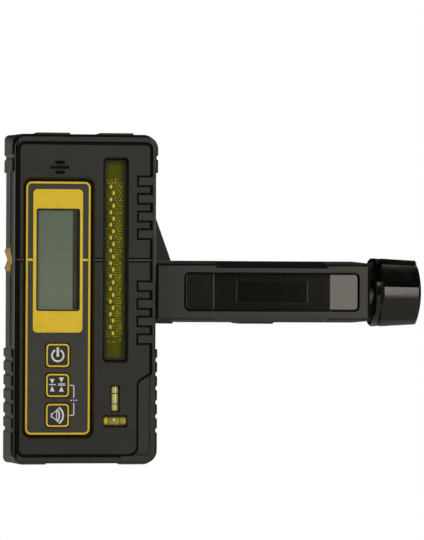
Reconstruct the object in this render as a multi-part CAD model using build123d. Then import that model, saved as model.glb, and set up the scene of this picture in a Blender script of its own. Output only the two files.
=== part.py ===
from build123d import *
import math
import os

# Laser receiver with its staff clamp, in millimetres. The origin is the centre of the
# seat that rests on a staff: +Z runs up the staff, +X along the clamp arm towards the
# knob, and +Y out of the seat into the staff, so the receiver faces -Y.

# Receiver case
case_gap = 1.5
case_drop = 18.5
case_width = 68.6
case_height = 154.8
case_depth = 31.0
case_radius = 6.0
case_rear_radius = 2.6
case_back_y = -20.0
parting_depth = 14.0
shell_wall = 2.2
plate_wall = 3.0
fit_gap = 0.1
slide_gap = 0.3
screw_gap = 0.03
shaft_gap = 0.05

# Rubber bumper round the case
bumper_side = 2.7
bumper_end = 4.0
bumper_back_gap = 0.5
bumper_chamfer = 1.2
rim_taper = 1.4
rim_taper_depth = 7.0
rim_dish = 0.4
rim_dish_depth = 0.6
rib_height = 0.9
rib_draft = 0.8
rib_pitch = 6.6
rib_count = 6
rib_first_rise = 49.2
rib_zone_rise = 54.2
rib_zone_top_gap = 17.9
rib_notch_top_gap = 10.9
rib_notch_radius = 1.25
pad_width = 15.6
pad_height = 0.5
pad_dx = 14.9
foot_recess_width = 34.8
foot_recess = 0.7
groove = 1.1
groove_depth = 1.4
rim_edge = 0.2
finger_gap = 0.85
finger_length = 5.3
finger_height = 3.7
finger_pitch = 8.25
finger_first = 12.2
finger_count = 4
finger_thick = 1.5
patch_width = 5.9
patch_rise = 43.1
patch_drop = 3.6
patch_bend = 2.0
patch_sweep = 3.2
patch_corner = 4.0
patch_line = 0.5

# On-grade plane, level with the reading edge of the arm
grade_channel = 2.0
grade_channel_depth = 0.6
grade_line = 0.7
mark_height = 10.8
mark_front_gap = 1.0
mark_bulge = 0.6
mark_dip = 0.7
mark_crest = 8.0
mark_dip_height = 1.0

# Key panel
label_left_gap = 6.3
label_right_gap = 30.9
label_top_gap = 21.8
label_bottom_gap = 13.6
label_radius = 2.9
label_bevel = 1.2
label_depth = 3.0
overlay_thick = 0.5
tub_wall = 1.5
tub_side = 2.2
window_width = 20.2
window_height = 47.6
window_radius = 1.0
window_ledge = 0.5
key_size = 11.4
key_radius = 2.2
key_rise = 9.6
key_pitch = 14.0
key_proud = 0.3
key_travel = 0.6
key_flange = 0.9
key_flange_thick = 0.8
key_stem = 3.5
switch_size = 6.0
switch_height = 3.5
switch_floor = 0.9

# Boards and display
board_front_depth = 10.3
board_thick = 1.6
board_top_inset = 9.2
board_bottom_inset = 5.6
board_screw = 2.2
board_screw_head = 3.8
board_screw_head_thick = 1.0
board_screw_length = 7.0
board_post = 4.0
board_post_inset = 2.7
glass_margin = 2.0
glass_thick = 2.0
chip_size = 10.0
chip_thick = 1.2
chip_dx = 2.0
chip_dz = 33.7
buzzer_diameter = 12.0
buzzer_height = 5.0
buzzer_post_gap = 0.5
slot_top_gap = 15.75
slot_pitch = 2.3
slot_height = 1.4
slot_lengths = (4.7, 8.9, 4.7)

# Sensor column
sensor_right_gap = 19.8
sensor_top_gap = 12.3
sensor_width = 9.5
sensor_radius = 0.8
sensor_bevel = 1.25
sensor_depth = 3.0
sensor_thick = 1.5
sensor_ledge = 0.8
sensor_shroud = 1.3
sensor_board_thick = 1.2
sensor_board_depth = 6.8
diode_pitch = 2.99
diode_margin = 12.2
diode_width = 3.4
diode_height = 2.3
diode_thick = 0.9
diode_stagger = 0.47
diode_dx = -1.14
connector_width = 6.0
connector_height = 20.0

# Vials
vial_diameter = 5.6
vial_wall = 0.7
vial_inset = 0.7
plumb_rise = 31.05
plumb_length = 13.0
plumb_window = (3.9, 11.65)
level_rise = 20.55
level_length = 12.4
level_window = (10.8, 4.8)
vial_window_radius = 0.4
vial_bevel = 0.5
vial_block_margin = 1.4
retainer_thick = 1.2

# Battery bay and door
cell_diameter = 14.5
cell_length = 50.5
cell_gap = 0.4
cell_cap_diameter = 5.5
cell_cap_height = 1.0
contact_thick = 0.5
contact_width = 8.0
contact_height = 10.0
bay_wall = 1.2
door_thick = 2.0
door_overlap = 1.2
door_gap = 0.3
hinge_diameter = 3.4
hinge_pin_diameter = 1.5
hinge_knuckle = 7.0
hinge_middle = 10.0
hinge_swing_gap = 1.0
hinge_inset = 0.2
hinge_rise = 7.5
pull_notch = 8.0
grip_count = 3
grip_pitch = 2.4
grip_width = 1.0
grip_length = 16.0
grip_depth = 0.5

# Case fasteners
case_screw = 3.0
case_screw_length = 20.0
case_screw_head = 5.4
case_screw_head_thick = 2.0
case_screw_sink = 0.6
case_boss = 6.2
boss_merge = 0.3
seal_width = 1.0
seal_thick = 0.8

# Bracket and its screw
bracket_thick = 7.0
bracket_left = 25.3
bracket_rise = 29.2
bracket_edge = 0.8
bracket_door_gap = 1.0
bracket_radius = 6.0
gusset_foot = 8.9
gusset_run = 0.36
mount_thread = 6.35
mount_pitch_hole = 6.8
mount_insert_diameter = 9.0
mount_insert_length = 9.0
mount_boss = 13.0
mount_tip = 0.6
mount_washer_diameter = 14.0
mount_washer_thick = 1.0
mount_knob_diameter = 28.0
mount_knob_thick = 12.0
mount_knob_lobes = 6
mount_knob_scallop = 5.0
mount_stud_end = 3.0
peg_diameter = 5.0
peg_length = 2.0
peg_dx = 19.0
peg_wall = 2.0
bracket_rib = 3.0
bracket_rib_depth = 6.0

# Clamp arm
arm_depth = 24.0
arm_half = 14.8
arm_left_x = -28.4
arm_right_x = 77.6
arm_draft = 1.6
arm_end_run = 6.0
arm_end_drop = 0.9
pocket_left_x = -13.5
pocket_right_x = 71.3
pocket_half = 9.3
pocket_radius = 2.6
pocket_depth = 5.0
pocket_left_ramp = 14.9
pocket_right_ramp = 13.6
pocket_pad_left = 12.5
pocket_pad_right = 46.8
pocket_pad_half = 5.1
pocket_pad_rise = 0.4
pocket_gap = 0.9
pocket_gap_drop = 0.6
scoop_left_x = 1.7
scoop_right_x = 56.0
scoop_half = 11.4
scoop_reach = 20.0
channel_left_x = 3.0
channel_half = 9.0
channel_front_wall = 2.0
channel_back_wall = 3.0
slot_half = 6.0
plug_thick = 3.4
arm_edge = 0.8
seat_rise = 0.4
seat_margin = 0.5

# Jaws
staff_width = 29.5
jaw_reach = 24.0
jaw_half = 15.0
jaw_drop = 0.5
fixed_jaw_thick = 7.8
sliding_jaw_length = 18.4
jaw_tip = 9.5
jaw_slope_start = 8.0
jaw_pad_thick = 1.5
jaw_pad_inset = 0.5
jaw_pad_front = 3.0
jaw_pad_back = 2.0
jaw_pad_half = 12.0
jaw_edge = 1.0

# Screw drive
screw_y = -10.0
screw_diameter = 8.0
journal_diameter = 6.0
bush_diameter = 9.0
journal_length = 7.0
nut_diameter = 12.0
nut_length = 14.0
washer_thick = 1.0
washer_diameter = 12.0
knob_length = 24.5
knob_lip = 3.1
knob_lip_radius = 16.4
knob_lip_edge = 0.6
knob_neck = 0.5
knob_neck_radius = 15.6
knob_shoulder_edge = 0.5
knob_radius = 17.45
knob_end_radius = 16.5
knob_end_edge = 0.8
knob_dome = 2.8
knob_ribs = 6
knob_flute_radius = 30.0
knob_flute_depth = 1.75
knob_edge = 1.0
knob_bore_end = 5.0

# Planes that the sizes above give
grade_z = arm_half
case_x = arm_left_x - case_gap - case_width / 2
case_z = grade_z - case_drop
case_top_z = case_z + case_height / 2
case_bottom_z = case_z - case_height / 2
front_y = case_back_y - case_depth
parting_y = case_back_y - parting_depth
mark_front_y = front_y + rim_taper_depth + mark_front_gap
shell_width = case_width - 2 * bumper_side
shell_height = case_height - 2 * bumper_end
shell_radius = case_radius - bumper_side
plate_width = shell_width - 2 * groove
plate_height = shell_height - 2 * groove
plate_right_x = case_x + plate_width / 2
plate_bottom_z = case_z - plate_height / 2
inner_y = front_y + plate_wall
label_width = case_width - label_left_gap - label_right_gap
label_height = case_height - label_top_gap - label_bottom_gap
label_x = case_x + (label_left_gap - label_right_gap) / 2
label_z = case_z + (label_bottom_gap - label_top_gap) / 2
overlay_y = front_y + label_depth
label_floor_y = overlay_y + overlay_thick
tub_back_y = label_floor_y + tub_wall
sensor_x = case_x + case_width / 2 - sensor_right_gap
sensor_height = 2 * (case_top_z - sensor_top_gap - grade_z)
sensor_y = front_y + sensor_depth
sensor_floor_y = sensor_y + sensor_thick
sensor_board_y = front_y + sensor_board_depth
diode_count = round((sensor_height - 2 * diode_margin) / diode_pitch) + 1
board_y = front_y + board_front_depth
board_back_y = board_y + board_thick
boss_inset = shell_wall + case_boss / 2 - boss_merge
case_screw_dx = shell_width / 2 - boss_inset
case_screw_dz = shell_height / 2 - boss_inset
case_screw_tip_y = case_back_y - case_screw_sink - case_screw_head_thick - case_screw_length
board_half = case_screw_dx - case_boss / 2 - slide_gap
board_top_z = case_z + shell_height / 2 - board_top_inset
board_bottom_z = case_z - shell_height / 2 + board_bottom_inset
board_screw_tip_y = board_back_y - board_screw_length
board_side = board_half - board_post_inset
slot_x = case_x - board_side + (board_post + buzzer_diameter) / 2 + buzzer_post_gap
slot_z = case_top_z - slot_top_gap
shroud_half = sensor_width / 2 + sensor_bevel + sensor_shroud
key_places = [label_z - label_height / 2 + key_rise + key_pitch * step for step in (2, 1, 0)]
plumb_z = case_bottom_z + plumb_rise
level_z = case_bottom_z + level_rise
vial_y = front_y + vial_inset + vial_diameter / 2
vial_back_y = vial_y + vial_diameter / 2
door_y = case_back_y - door_thick
cell_y = door_y - cell_gap - cell_diameter / 2
bay_floor_y = cell_y - cell_diameter / 2 - cell_gap / 2
bay_length = cell_length + cell_cap_height + 2 * contact_thick + 2 * fit_gap
hinge_z = case_bottom_z + hinge_rise
bay_bottom_z = hinge_z + hinge_diameter / 2 + door_gap + bay_wall
bay_top_z = bay_bottom_z + bay_length
bay_half = cell_diameter + cell_gap
door_half = bay_half + bay_wall + door_overlap
door_top_z = bay_top_z + bay_wall + door_overlap
hinge_y = case_back_y - hinge_diameter / 2 - hinge_inset
hinge_pin_length = hinge_middle + 2 * hinge_knuckle + 4 * door_gap + 2 * bay_wall
mount_z = grade_z
bracket_y = case_back_y + bracket_thick
bracket_low_z = max(-arm_half, door_top_z + bracket_door_gap)
arm_front_y = -arm_depth
arm_back_y = -seat_rise
pocket_floor_y = arm_front_y + pocket_depth
channel_front_y = pocket_floor_y + channel_front_wall
channel_back_y = -channel_back_wall
jaw_face_x = staff_width / 2
plug_left_x = arm_right_x - plug_thick
shoulder_x = plug_left_x - washer_thick - fit_gap
knob_left_x = arm_right_x + washer_thick + fit_gap
gusset_foot_x = arm_left_x + gusset_foot


def box(x0, x1, y0, y1, z0, z1):
    """Block between two corners."""
    return Pos((x0 + x1) / 2, (y0 + y1) / 2, (z0 + z1) / 2) * Box(x1 - x0, y1 - y0, z1 - z0)


def slab(width, height, radius, y_front, y_back, x, z, spread=0.0):
    """Rounded plate facing -Y that grows by spread on each side towards its front."""
    plane = Plane((x, y_back, z), x_dir=(1, 0, 0), z_dir=(0, -1, 0))
    depth = y_back - y_front
    taper = -math.degrees(math.atan2(spread, depth))
    return extrude(plane * RectangleRounded(width, height, radius), amount=depth, taper=taper)


def outline_slab(face, y_front, y_back):
    """Outline drawn in X and Z, made solid between two depths."""
    plane = Plane((0, y_back, 0), x_dir=(1, 0, 0), z_dir=(0, -1, 0))
    return extrude(plane * face, amount=y_back - y_front)


def rod_x(diameter, x0, x1, y, z):
    return Pos((x0 + x1) / 2, y, z) * Rot(0, 90, 0) * Cylinder(diameter / 2, x1 - x0)


def rod_y(diameter, y0, y1, x, z):
    return Pos(x, (y0 + y1) / 2, z) * Rot(90, 0, 0) * Cylinder(diameter / 2, y1 - y0)


def rod_z(diameter, z0, z1, x, y):
    return Pos(x, y, (z0 + z1) / 2) * Cylinder(diameter / 2, z1 - z0)


def case_slab(side, end, radius, y_front, y_back):
    """Case outline drawn in by side on its long sides and by end at top and bottom."""
    return slab(case_width - 2 * side, case_height - 2 * end, radius, y_front, y_back, case_x, case_z)


def case_screw_places():
    return [(case_x + a * case_screw_dx, case_z + b * case_screw_dz) for a in (-1, 1) for b in (-1, 1)]


def board_post_places():
    beside_sensor = sensor_x - case_x - shroud_half - board_post
    top = board_top_z - board_post_inset
    bottom = board_bottom_z + board_post_inset
    spots = ((-board_side, top), (beside_sensor, top), (-board_side, bottom), (board_side, bottom))
    return [(case_x + dx, z) for dx, z in spots]


def patch_face(gap):
    """Lower right corner that the bumper covers, drawn in by gap from the front plate."""
    left = plate_right_x - patch_width + gap
    top = case_bottom_z + patch_rise - gap
    low = top - patch_drop
    right = case_x + shell_width / 2 + bumper_side / 2
    floor = case_z - shell_height / 2 - bumper_end / 2
    corner_z = plate_bottom_z - gap
    points = [
        (right, top),
        (plate_right_x + gap, top),
        (left, low),
        (left, corner_z),
        (left - 2 * patch_corner, corner_z),
        (left - 2 * patch_corner, floor),
        (right, floor),
    ]
    radii = [0, patch_bend, patch_sweep, 0, 0, 0, 0]
    corner = Pos(left - patch_corner, corner_z + patch_corner) * Circle(patch_corner)
    square = Pos(left - patch_corner / 2, corner_z + patch_corner / 2) * Rectangle(patch_corner, patch_corner)
    return make_face(FilletPolyline(*points, radius=radii, close=True)) + (square - corner)


def finger_places():
    steps = [finger_first + finger_pitch * step for step in range(finger_count)]
    return [grade_z + side * step for side in (-1, 1) for step in steps]


def make_front_housing():
    body = slab(plate_width, plate_height, shell_radius - groove, front_y, front_y + groove_depth, case_x, case_z)
    body += case_slab(bumper_side, bumper_end, shell_radius, front_y + groove_depth, parting_y)
    wall = bumper_side + shell_wall
    end_wall = bumper_end + shell_wall
    body -= case_slab(wall, end_wall, shell_radius - shell_wall / 2, inner_y, parting_y)
    # The grade line stands between two thin grooves and bridges the groove to the bumper.
    half = plate_width / 2
    low = front_y + grade_channel_depth
    body -= box(case_x - half, case_x + half, front_y, low, grade_z - grade_channel / 2, grade_z + grade_channel / 2)
    half = shell_width / 2
    low = front_y + groove_depth
    body += box(case_x - half, case_x + half, front_y, low, grade_z - grade_line / 2, grade_z + grade_line / 2)
    # Wells behind the plate for the key panel and the sensor window.
    tub = slab(label_width + 2 * tub_side, label_height + 2 * tub_side, label_radius + tub_side, inner_y, tub_back_y,
               label_x, label_z)
    shroud = slab(2 * shroud_half, sensor_height + 2 * (sensor_bevel + sensor_shroud),
                  sensor_radius + sensor_bevel, inner_y, sensor_board_y, sensor_x, grade_z)
    inside = case_slab(wall, end_wall, shell_radius - shell_wall / 2, inner_y, parting_y)
    body += (tub + shroud + vial_block()) & inside
    for x, z in case_screw_places():
        body += rod_y(case_boss, inner_y, parting_y, x, z)
    for x, z in board_post_places():
        body += rod_y(board_post, inner_y, board_y, x, z)
    body -= slab(label_width + 2 * fit_gap, label_height + 2 * fit_gap, label_radius, front_y, label_floor_y,
                 label_x, label_z, label_bevel)
    body -= slab(window_width - 2 * window_ledge, window_height - 2 * window_ledge, window_radius,
                 label_floor_y, tub_back_y, label_x, grade_z)
    for z in key_places:
        hole = key_size + 2 * slide_gap
        body -= slab(hole, hole, key_radius, label_floor_y, tub_back_y, label_x, z)
    body -= slab(sensor_width + 2 * fit_gap, sensor_height + 2 * fit_gap, sensor_radius, front_y, sensor_floor_y,
                 sensor_x, grade_z, sensor_bevel)
    body -= slab(sensor_width - 2 * sensor_ledge, sensor_height - 2 * sensor_ledge, sensor_radius,
                 sensor_floor_y, sensor_board_y, sensor_x, grade_z)
    for step, length in enumerate(slot_lengths):
        z = slot_z + (1 - step) * slot_pitch
        body -= outline_slab(Pos(slot_x, z) * SlotOverall(length, slot_height), front_y, inner_y)
    body -= vial_seats()
    # Pockets for the bumper's fingers and its corner patch.
    pocket = finger_height + 2 * finger_gap
    for z in finger_places():
        body -= box(plate_right_x - finger_length - finger_gap, case_x + shell_width / 2,
                    front_y, front_y + finger_thick, z - pocket / 2, z + pocket / 2)
    body -= outline_slab(patch_face(0), front_y, front_y + finger_thick)
    for x, z in case_screw_places():
        body -= rod_y(case_screw + 2 * screw_gap, case_screw_tip_y - fit_gap, parting_y, x, z)
    for x, z in board_post_places():
        body -= rod_y(board_screw + 2 * screw_gap, board_screw_tip_y - fit_gap, board_y, x, z)
    return body


def vial_block():
    """Thick patch behind the plate that the two vials lie in."""
    half = max(level_length, vial_diameter) / 2 + vial_block_margin
    top = plumb_z + plumb_length / 2 + vial_block_margin
    bottom = level_z - vial_diameter / 2 - vial_block_margin
    return box(sensor_x - half, sensor_x + half, inner_y, vial_back_y, bottom, top)


def vial_seats():
    """Windows in the plate and troughs, open at the back, for the two vials."""
    bore = vial_diameter + 2 * fit_gap
    plumb_half = plumb_length / 2 + fit_gap
    level_half = level_length / 2 + fit_gap
    seats = rod_z(bore, plumb_z - plumb_half, plumb_z + plumb_half, sensor_x, vial_y)
    seats += box(sensor_x - bore / 2, sensor_x + bore / 2, vial_y, vial_back_y,
                 plumb_z - plumb_half, plumb_z + plumb_half)
    seats += rod_x(bore, sensor_x - level_half, sensor_x + level_half, vial_y, level_z)
    seats += box(sensor_x - level_half, sensor_x + level_half, vial_y, vial_back_y,
                 level_z - bore / 2, level_z + bore / 2)
    for size, z in ((plumb_window, plumb_z), (level_window, level_z)):
        seats += box(sensor_x - size[0] / 2, sensor_x + size[0] / 2, front_y, vial_y,
                     z - size[1] / 2, z + size[1] / 2)
        seats += slab(*size, vial_window_radius, front_y, front_y + vial_inset, sensor_x, z, vial_bevel)
    return seats


def make_rear_housing():
    body = case_slab(bumper_side, bumper_end, shell_radius, parting_y, case_back_y)
    wall = bumper_side + shell_wall
    end_wall = bumper_end + shell_wall
    inner_radius = shell_radius - shell_wall / 2
    body -= case_slab(wall, end_wall, inner_radius, parting_y, case_back_y - shell_wall)
    bay_bottom = bay_bottom_z - bay_wall
    bay_top = bay_top_z + bay_wall
    bay = box(case_x - bay_half - bay_wall, case_x + bay_half + bay_wall, bay_floor_y - bay_wall, case_back_y,
              bay_bottom, bay_top)
    hinge_low = hinge_z - hinge_diameter / 2 - hinge_swing_gap
    hinge_half = hinge_pin_length / 2
    hinge_floor = hinge_y - hinge_diameter / 2 - door_gap
    cheek = box(case_x - hinge_half - bay_wall, case_x + hinge_half + bay_wall, hinge_floor - bay_wall, case_back_y,
                hinge_low - bay_wall / 2, bay_bottom)
    body += bay + cheek
    body -= box(case_x - bay_half, case_x + bay_half, bay_floor_y, case_back_y, bay_bottom_z, bay_top_z)
    # Seat of the door, flush in the back, with room for it to swing at the hinge.
    edge = door_half + door_gap
    seat_low = bay_bottom - hinge_swing_gap
    body -= box(case_x - edge, case_x + edge, door_y, case_back_y, seat_low, door_top_z + door_gap)
    swing = hinge_half - bay_wall
    body -= box(case_x - swing, case_x + swing, hinge_floor, case_back_y, hinge_low, bay_bottom)
    knuckle = rod_x(hinge_diameter, case_x - hinge_middle / 2, case_x + hinge_middle / 2, hinge_y, hinge_z)
    foot = box(case_x - hinge_middle / 2, case_x + hinge_middle / 2, hinge_floor, hinge_y,
               hinge_z - hinge_diameter / 2, hinge_z + hinge_diameter / 2)
    body += knuckle + foot
    body -= rod_x(hinge_pin_diameter + 2 * screw_gap, case_x - hinge_half, case_x + hinge_half, hinge_y, hinge_z)
    body += rod_y(mount_boss, case_back_y - mount_insert_length - shell_wall, case_back_y, case_x, mount_z)
    body -= rod_y(mount_insert_diameter, case_back_y - mount_insert_length, case_back_y, case_x, mount_z)
    for side in (-1, 1):
        x = case_x + side * peg_dx
        body += rod_y(peg_diameter + 2 * peg_wall, case_back_y - peg_length - shell_wall, case_back_y, x, mount_z)
        body -= rod_y(peg_diameter + 2 * fit_gap, case_back_y - peg_length - fit_gap, case_back_y, x, mount_z)
    seat_y = case_back_y - case_screw_sink - case_screw_head_thick
    for x, z in case_screw_places():
        body += rod_y(case_boss + shell_wall, parting_y, case_back_y, x, z)
        body -= rod_y(case_screw + 2 * shaft_gap, parting_y, case_back_y, x, z)
        body -= rod_y(case_screw_head + 2 * fit_gap, seat_y, case_back_y, x, z)
    return body - seal_ring()


def seal_ring():
    """Flat gasket ring in the middle of the shell wall, at the joint of the two housings."""
    side = bumper_side + (shell_wall - seal_width) / 2
    end = bumper_end + (shell_wall - seal_width) / 2
    ring = case_slab(side, end, shell_radius - (shell_wall - seal_width) / 2, parting_y, parting_y + seal_thick)
    return ring - case_slab(side + seal_width, end + seal_width, shell_radius - shell_wall / 2 - seal_width / 2,
                            parting_y, parting_y + seal_thick)


def make_housing_screws():
    screws = []
    head_y = case_back_y - case_screw_sink
    for x, z in case_screw_places():
        screw = rod_y(case_screw_head, head_y - case_screw_head_thick, head_y, x, z)
        screw += rod_y(case_screw, case_screw_tip_y, head_y - case_screw_head_thick, x, z)
        socket = Plane((x, head_y, z), z_dir=(0, 1, 0)) * RegularPolygon(case_screw_head / 4, 6)
        screw -= extrude(socket, amount=-case_screw_head_thick / 2)
        screws.append(screw)
    return Compound(children=screws)


def case_loft(y_front, front_inset, front_radius, y_back, back_inset, back_radius, swell=0.0):
    """Block between two case outlines, each drawn in by its inset, swell wider on each long side."""
    ends = []
    for y, inset, radius in ((y_back, back_inset, back_radius), (y_front, front_inset, front_radius)):
        plane = Plane((case_x, y, case_z), x_dir=(1, 0, 0), z_dir=(0, -1, 0))
        width = case_width + 2 * (swell - inset)
        ends.append(plane * RectangleRounded(width, case_height - 2 * inset, radius))
    return loft(ends)


def rubber_body(y_back):
    """Bumper's outer form: drawn in at the front, with corners that sharpen towards the back."""
    step_y = front_y + rim_taper_depth
    rim_y = y_back - bumper_chamfer
    rim_radius = case_rear_radius - bumper_chamfer
    body = case_loft(front_y, rim_taper, case_radius - rim_taper, step_y, 0, case_radius)
    body += case_loft(step_y, 0, case_radius, rim_y, 0, case_rear_radius)
    return body + case_loft(rim_y, 0, case_rear_radius, y_back, bumper_chamfer, rim_radius)


def rib_body(y_back):
    """Outer form of the ribs, with draft towards the front and chamfered rims."""
    step_y = front_y + bumper_chamfer
    rim_y = y_back - bumper_chamfer
    front_inset = rib_draft + bumper_chamfer
    rim_radius = case_rear_radius - bumper_chamfer
    body = case_loft(front_y, front_inset, case_radius - bumper_chamfer, step_y, rib_draft, case_radius, rib_height)
    body += case_loft(step_y, rib_draft, case_radius, rim_y, 0, case_rear_radius, rib_height)
    return body + case_loft(rim_y, 0, case_rear_radius, y_back, bumper_chamfer, rim_radius, rib_height)


def make_bumper():
    back = case_back_y - bumper_back_gap
    body = rubber_body(back)
    wide = rib_body(back)
    edge = case_width / 2 + rib_height
    top = case_top_z
    bottom = case_bottom_z
    high = top - rib_zone_top_gap
    low = bottom + rib_zone_rise
    zones = box(case_x - edge, case_x + edge, front_y, back, high, top)
    zones += box(case_x - edge, case_x + edge, front_y, back, bottom, low)
    body += wide & zones
    notches = [top - rib_notch_top_gap]
    for step in range(rib_count):
        notches.append(bottom + rib_first_rise - step * rib_pitch)
    reach = edge + rib_notch_radius - rib_height
    lean = math.degrees(math.atan2(rib_draft, back - front_y))
    notch = rod_y(2 * rib_notch_radius, front_y - back - rib_draft, rib_draft, 0, 0)
    for z in notches:
        for side in (-1, 1):
            body -= Pos(case_x + side * reach, back, z) * Rot(0, 0, -side * lean) * notch
    for side in (-1, 1):
        x = case_x + side * pad_dx
        body += box(x - pad_width / 2, x + pad_width / 2, front_y + bumper_chamfer, back - bumper_chamfer,
                    top - pad_height, top + pad_height)
    half = foot_recess_width / 2
    body -= box(case_x - half, case_x + half, front_y, back, bottom, bottom + foot_recess)
    body -= case_slab(bumper_side, bumper_end, shell_radius, front_y, back)
    # The front rim slopes in towards the plate.
    body -= slab(shell_width, shell_height, shell_radius, front_y, front_y + rim_dish_depth, case_x, case_z,
                 rim_dish)
    reach = case_x + shell_width / 2 + bumper_side / 3
    for z in finger_places():
        body += box(plate_right_x - finger_length, reach, front_y, front_y + finger_thick,
                    z - finger_height / 2, z + finger_height / 2)
    body += outline_slab(patch_face(finger_gap), front_y, front_y + finger_thick) & rubber_body(back)
    # A thin line carries the edge of the plate on across the corner patch.
    deep = front_y + patch_line
    radius = shell_radius - groove
    line = slab(plate_width + 2 * patch_line, plate_height + 2 * patch_line, radius + patch_line, front_y, deep,
                case_x, case_z)
    line -= slab(plate_width, plate_height, radius, front_y, deep, case_x, case_z)
    body -= line & outline_slab(patch_face(finger_gap), front_y, deep)
    left = case_x - case_width / 2
    half = mark_height / 2
    body -= box(left - mark_bulge, left + bumper_side, mark_front_y, back, grade_z - half, grade_z + half)
    # The left rim falls away to a narrow edge, except where the grade line crosses it.
    half = plate_height / 2
    for z0, z1 in ((case_z - half, grade_z - grade_line / 2), (grade_z + grade_line / 2, case_z + half)):
        body -= box(left + rim_taper + rim_edge, left + bumper_side, front_y, front_y + groove_depth, z0, z1)
    return body


def make_grade_mark():
    """Gold inlay with a notch at the on-grade plane, proud of the wall above and below it."""
    wall = case_x - case_width / 2
    points = [
        (wall, mark_height / 2),
        (wall - mark_bulge, mark_crest / 2),
        (wall + mark_dip, mark_dip_height / 2),
        (wall + mark_dip, -mark_dip_height / 2),
        (wall - mark_bulge, -mark_crest / 2),
        (wall, -mark_height / 2),
        (wall + bumper_side, -mark_height / 2),
        (wall + bumper_side, mark_height / 2),
    ]
    face = make_face(Polyline(*[(x, z + grade_z) for x, z in points], close=True))
    return outline_slab(face, mark_front_y, case_back_y - bumper_back_gap)


def make_keypad_overlay():
    body = slab(label_width, label_height, label_radius, overlay_y, label_floor_y, label_x, label_z)
    body -= slab(window_width + 2 * fit_gap, window_height + 2 * fit_gap, window_radius, overlay_y, label_floor_y,
                 label_x, grade_z)
    hole = key_size + 2 * slide_gap
    for z in key_places:
        body -= slab(hole, hole, key_radius, overlay_y, label_floor_y, label_x, z)
    return body


def make_display_window():
    return slab(window_width, window_height, window_radius, overlay_y, label_floor_y, label_x, grade_z)


def display_slab(y_front, y_back):
    width = window_width + 2 * glass_margin
    height = window_height + 2 * glass_margin
    return slab(width, height, window_radius, y_front, y_back, label_x, grade_z)


def make_key(z):
    """Key cap with a flange behind the panel and a stem that enters its switch."""
    face_y = overlay_y - key_proud
    flange_y = tub_back_y + fit_gap
    flange = key_size + 2 * key_flange
    stem_end = flange_y + key_flange_thick + key_travel
    body = slab(key_size, key_size, key_radius - slide_gap, face_y, flange_y, label_x, z)
    front = body.faces().sort_by(Axis.Y)[0].edges()
    body = chamfer(front, key_proud)
    body += slab(flange, flange, key_radius, flange_y, flange_y + key_flange_thick, label_x, z)
    return body + rod_y(key_stem, flange_y + key_flange_thick, stem_end + key_travel, label_x, z)


def make_key_switches():
    switches = []
    for z in key_places:
        can = slab(switch_size, switch_size, switch_floor, board_y - switch_height, board_y, label_x, z)
        can -= rod_y(key_stem + 2 * slide_gap, board_y - switch_height, board_y - switch_floor, label_x, z)
        switches.append(can)
    return Compound(children=switches)


def make_main_board():
    body = box(case_x - board_half, case_x + board_half, board_y, board_back_y, board_bottom_z, board_top_z)
    for x, z in board_post_places():
        body -= rod_y(board_screw + 2 * fit_gap, board_y, board_back_y, x, z)
    return body


def make_board_screws():
    screws = []
    for x, z in board_post_places():
        head = rod_y(board_screw_head, board_back_y, board_back_y + board_screw_head_thick, x, z)
        screws.append(head + rod_y(board_screw, board_screw_tip_y, board_back_y, x, z))
    return Compound(children=screws)


def make_control_chip():
    half = chip_size / 2
    x = case_x + chip_dx
    z = case_z + chip_dz
    return box(x - half, x + half, board_back_y, board_back_y + chip_thick, z - half, z + half)


def make_buzzer():
    body = rod_y(buzzer_diameter, board_y - buzzer_height, board_y, slot_x, slot_z)
    port = buzzer_diameter / 5
    return body - rod_y(port, board_y - buzzer_height, board_y - buzzer_height / 2, slot_x, slot_z)


def make_sensor_window():
    return slab(sensor_width, sensor_height, sensor_radius, sensor_y, sensor_floor_y, sensor_x, grade_z)


def make_sensor_board():
    half = sensor_width / 2 + sensor_bevel
    height = sensor_height / 2 + sensor_bevel
    return box(sensor_x - half, sensor_x + half, sensor_board_y, sensor_board_y + sensor_board_thick,
               grade_z - height, grade_z + height)


def make_photodiodes():
    diodes = []
    for step in range(diode_count):
        x = sensor_x + diode_dx + diode_stagger * (-1) ** step
        z = grade_z + (step - (diode_count - 1) / 2) * diode_pitch
        diodes.append(box(x - diode_width / 2, x + diode_width / 2, sensor_board_y - diode_thick, sensor_board_y,
                          z - diode_height / 2, z + diode_height / 2))
    return Compound(children=diodes)


def make_board_connector():
    half = connector_width / 2
    height = connector_height / 2
    return box(sensor_x - half, sensor_x + half, sensor_board_y + sensor_board_thick, board_y,
               grade_z - height, grade_z + height)


def make_plumb_vial():
    half = plumb_length / 2
    return rod_z(vial_diameter, plumb_z - half, plumb_z + half, sensor_x, vial_y) - plumb_fluid()


def plumb_fluid():
    half = plumb_length / 2 - vial_wall
    return rod_z(vial_diameter - 2 * vial_wall, plumb_z - half, plumb_z + half, sensor_x, vial_y)


def make_level_vial():
    half = level_length / 2
    return rod_x(vial_diameter, sensor_x - half, sensor_x + half, vial_y, level_z) - level_fluid()


def level_fluid():
    half = level_length / 2 - vial_wall
    return rod_x(vial_diameter - 2 * vial_wall, sensor_x - half, sensor_x + half, vial_y, level_z)


def make_vial_fluid():
    return Compound(children=[plumb_fluid(), level_fluid()])


def make_vial_retainer():
    """Plate that holds both vials in their troughs, on the back of the vial block."""
    block = vial_block().bounding_box()
    return box(block.min.X, block.max.X, vial_back_y, vial_back_y + retainer_thick, block.min.Z, block.max.Z)


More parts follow.
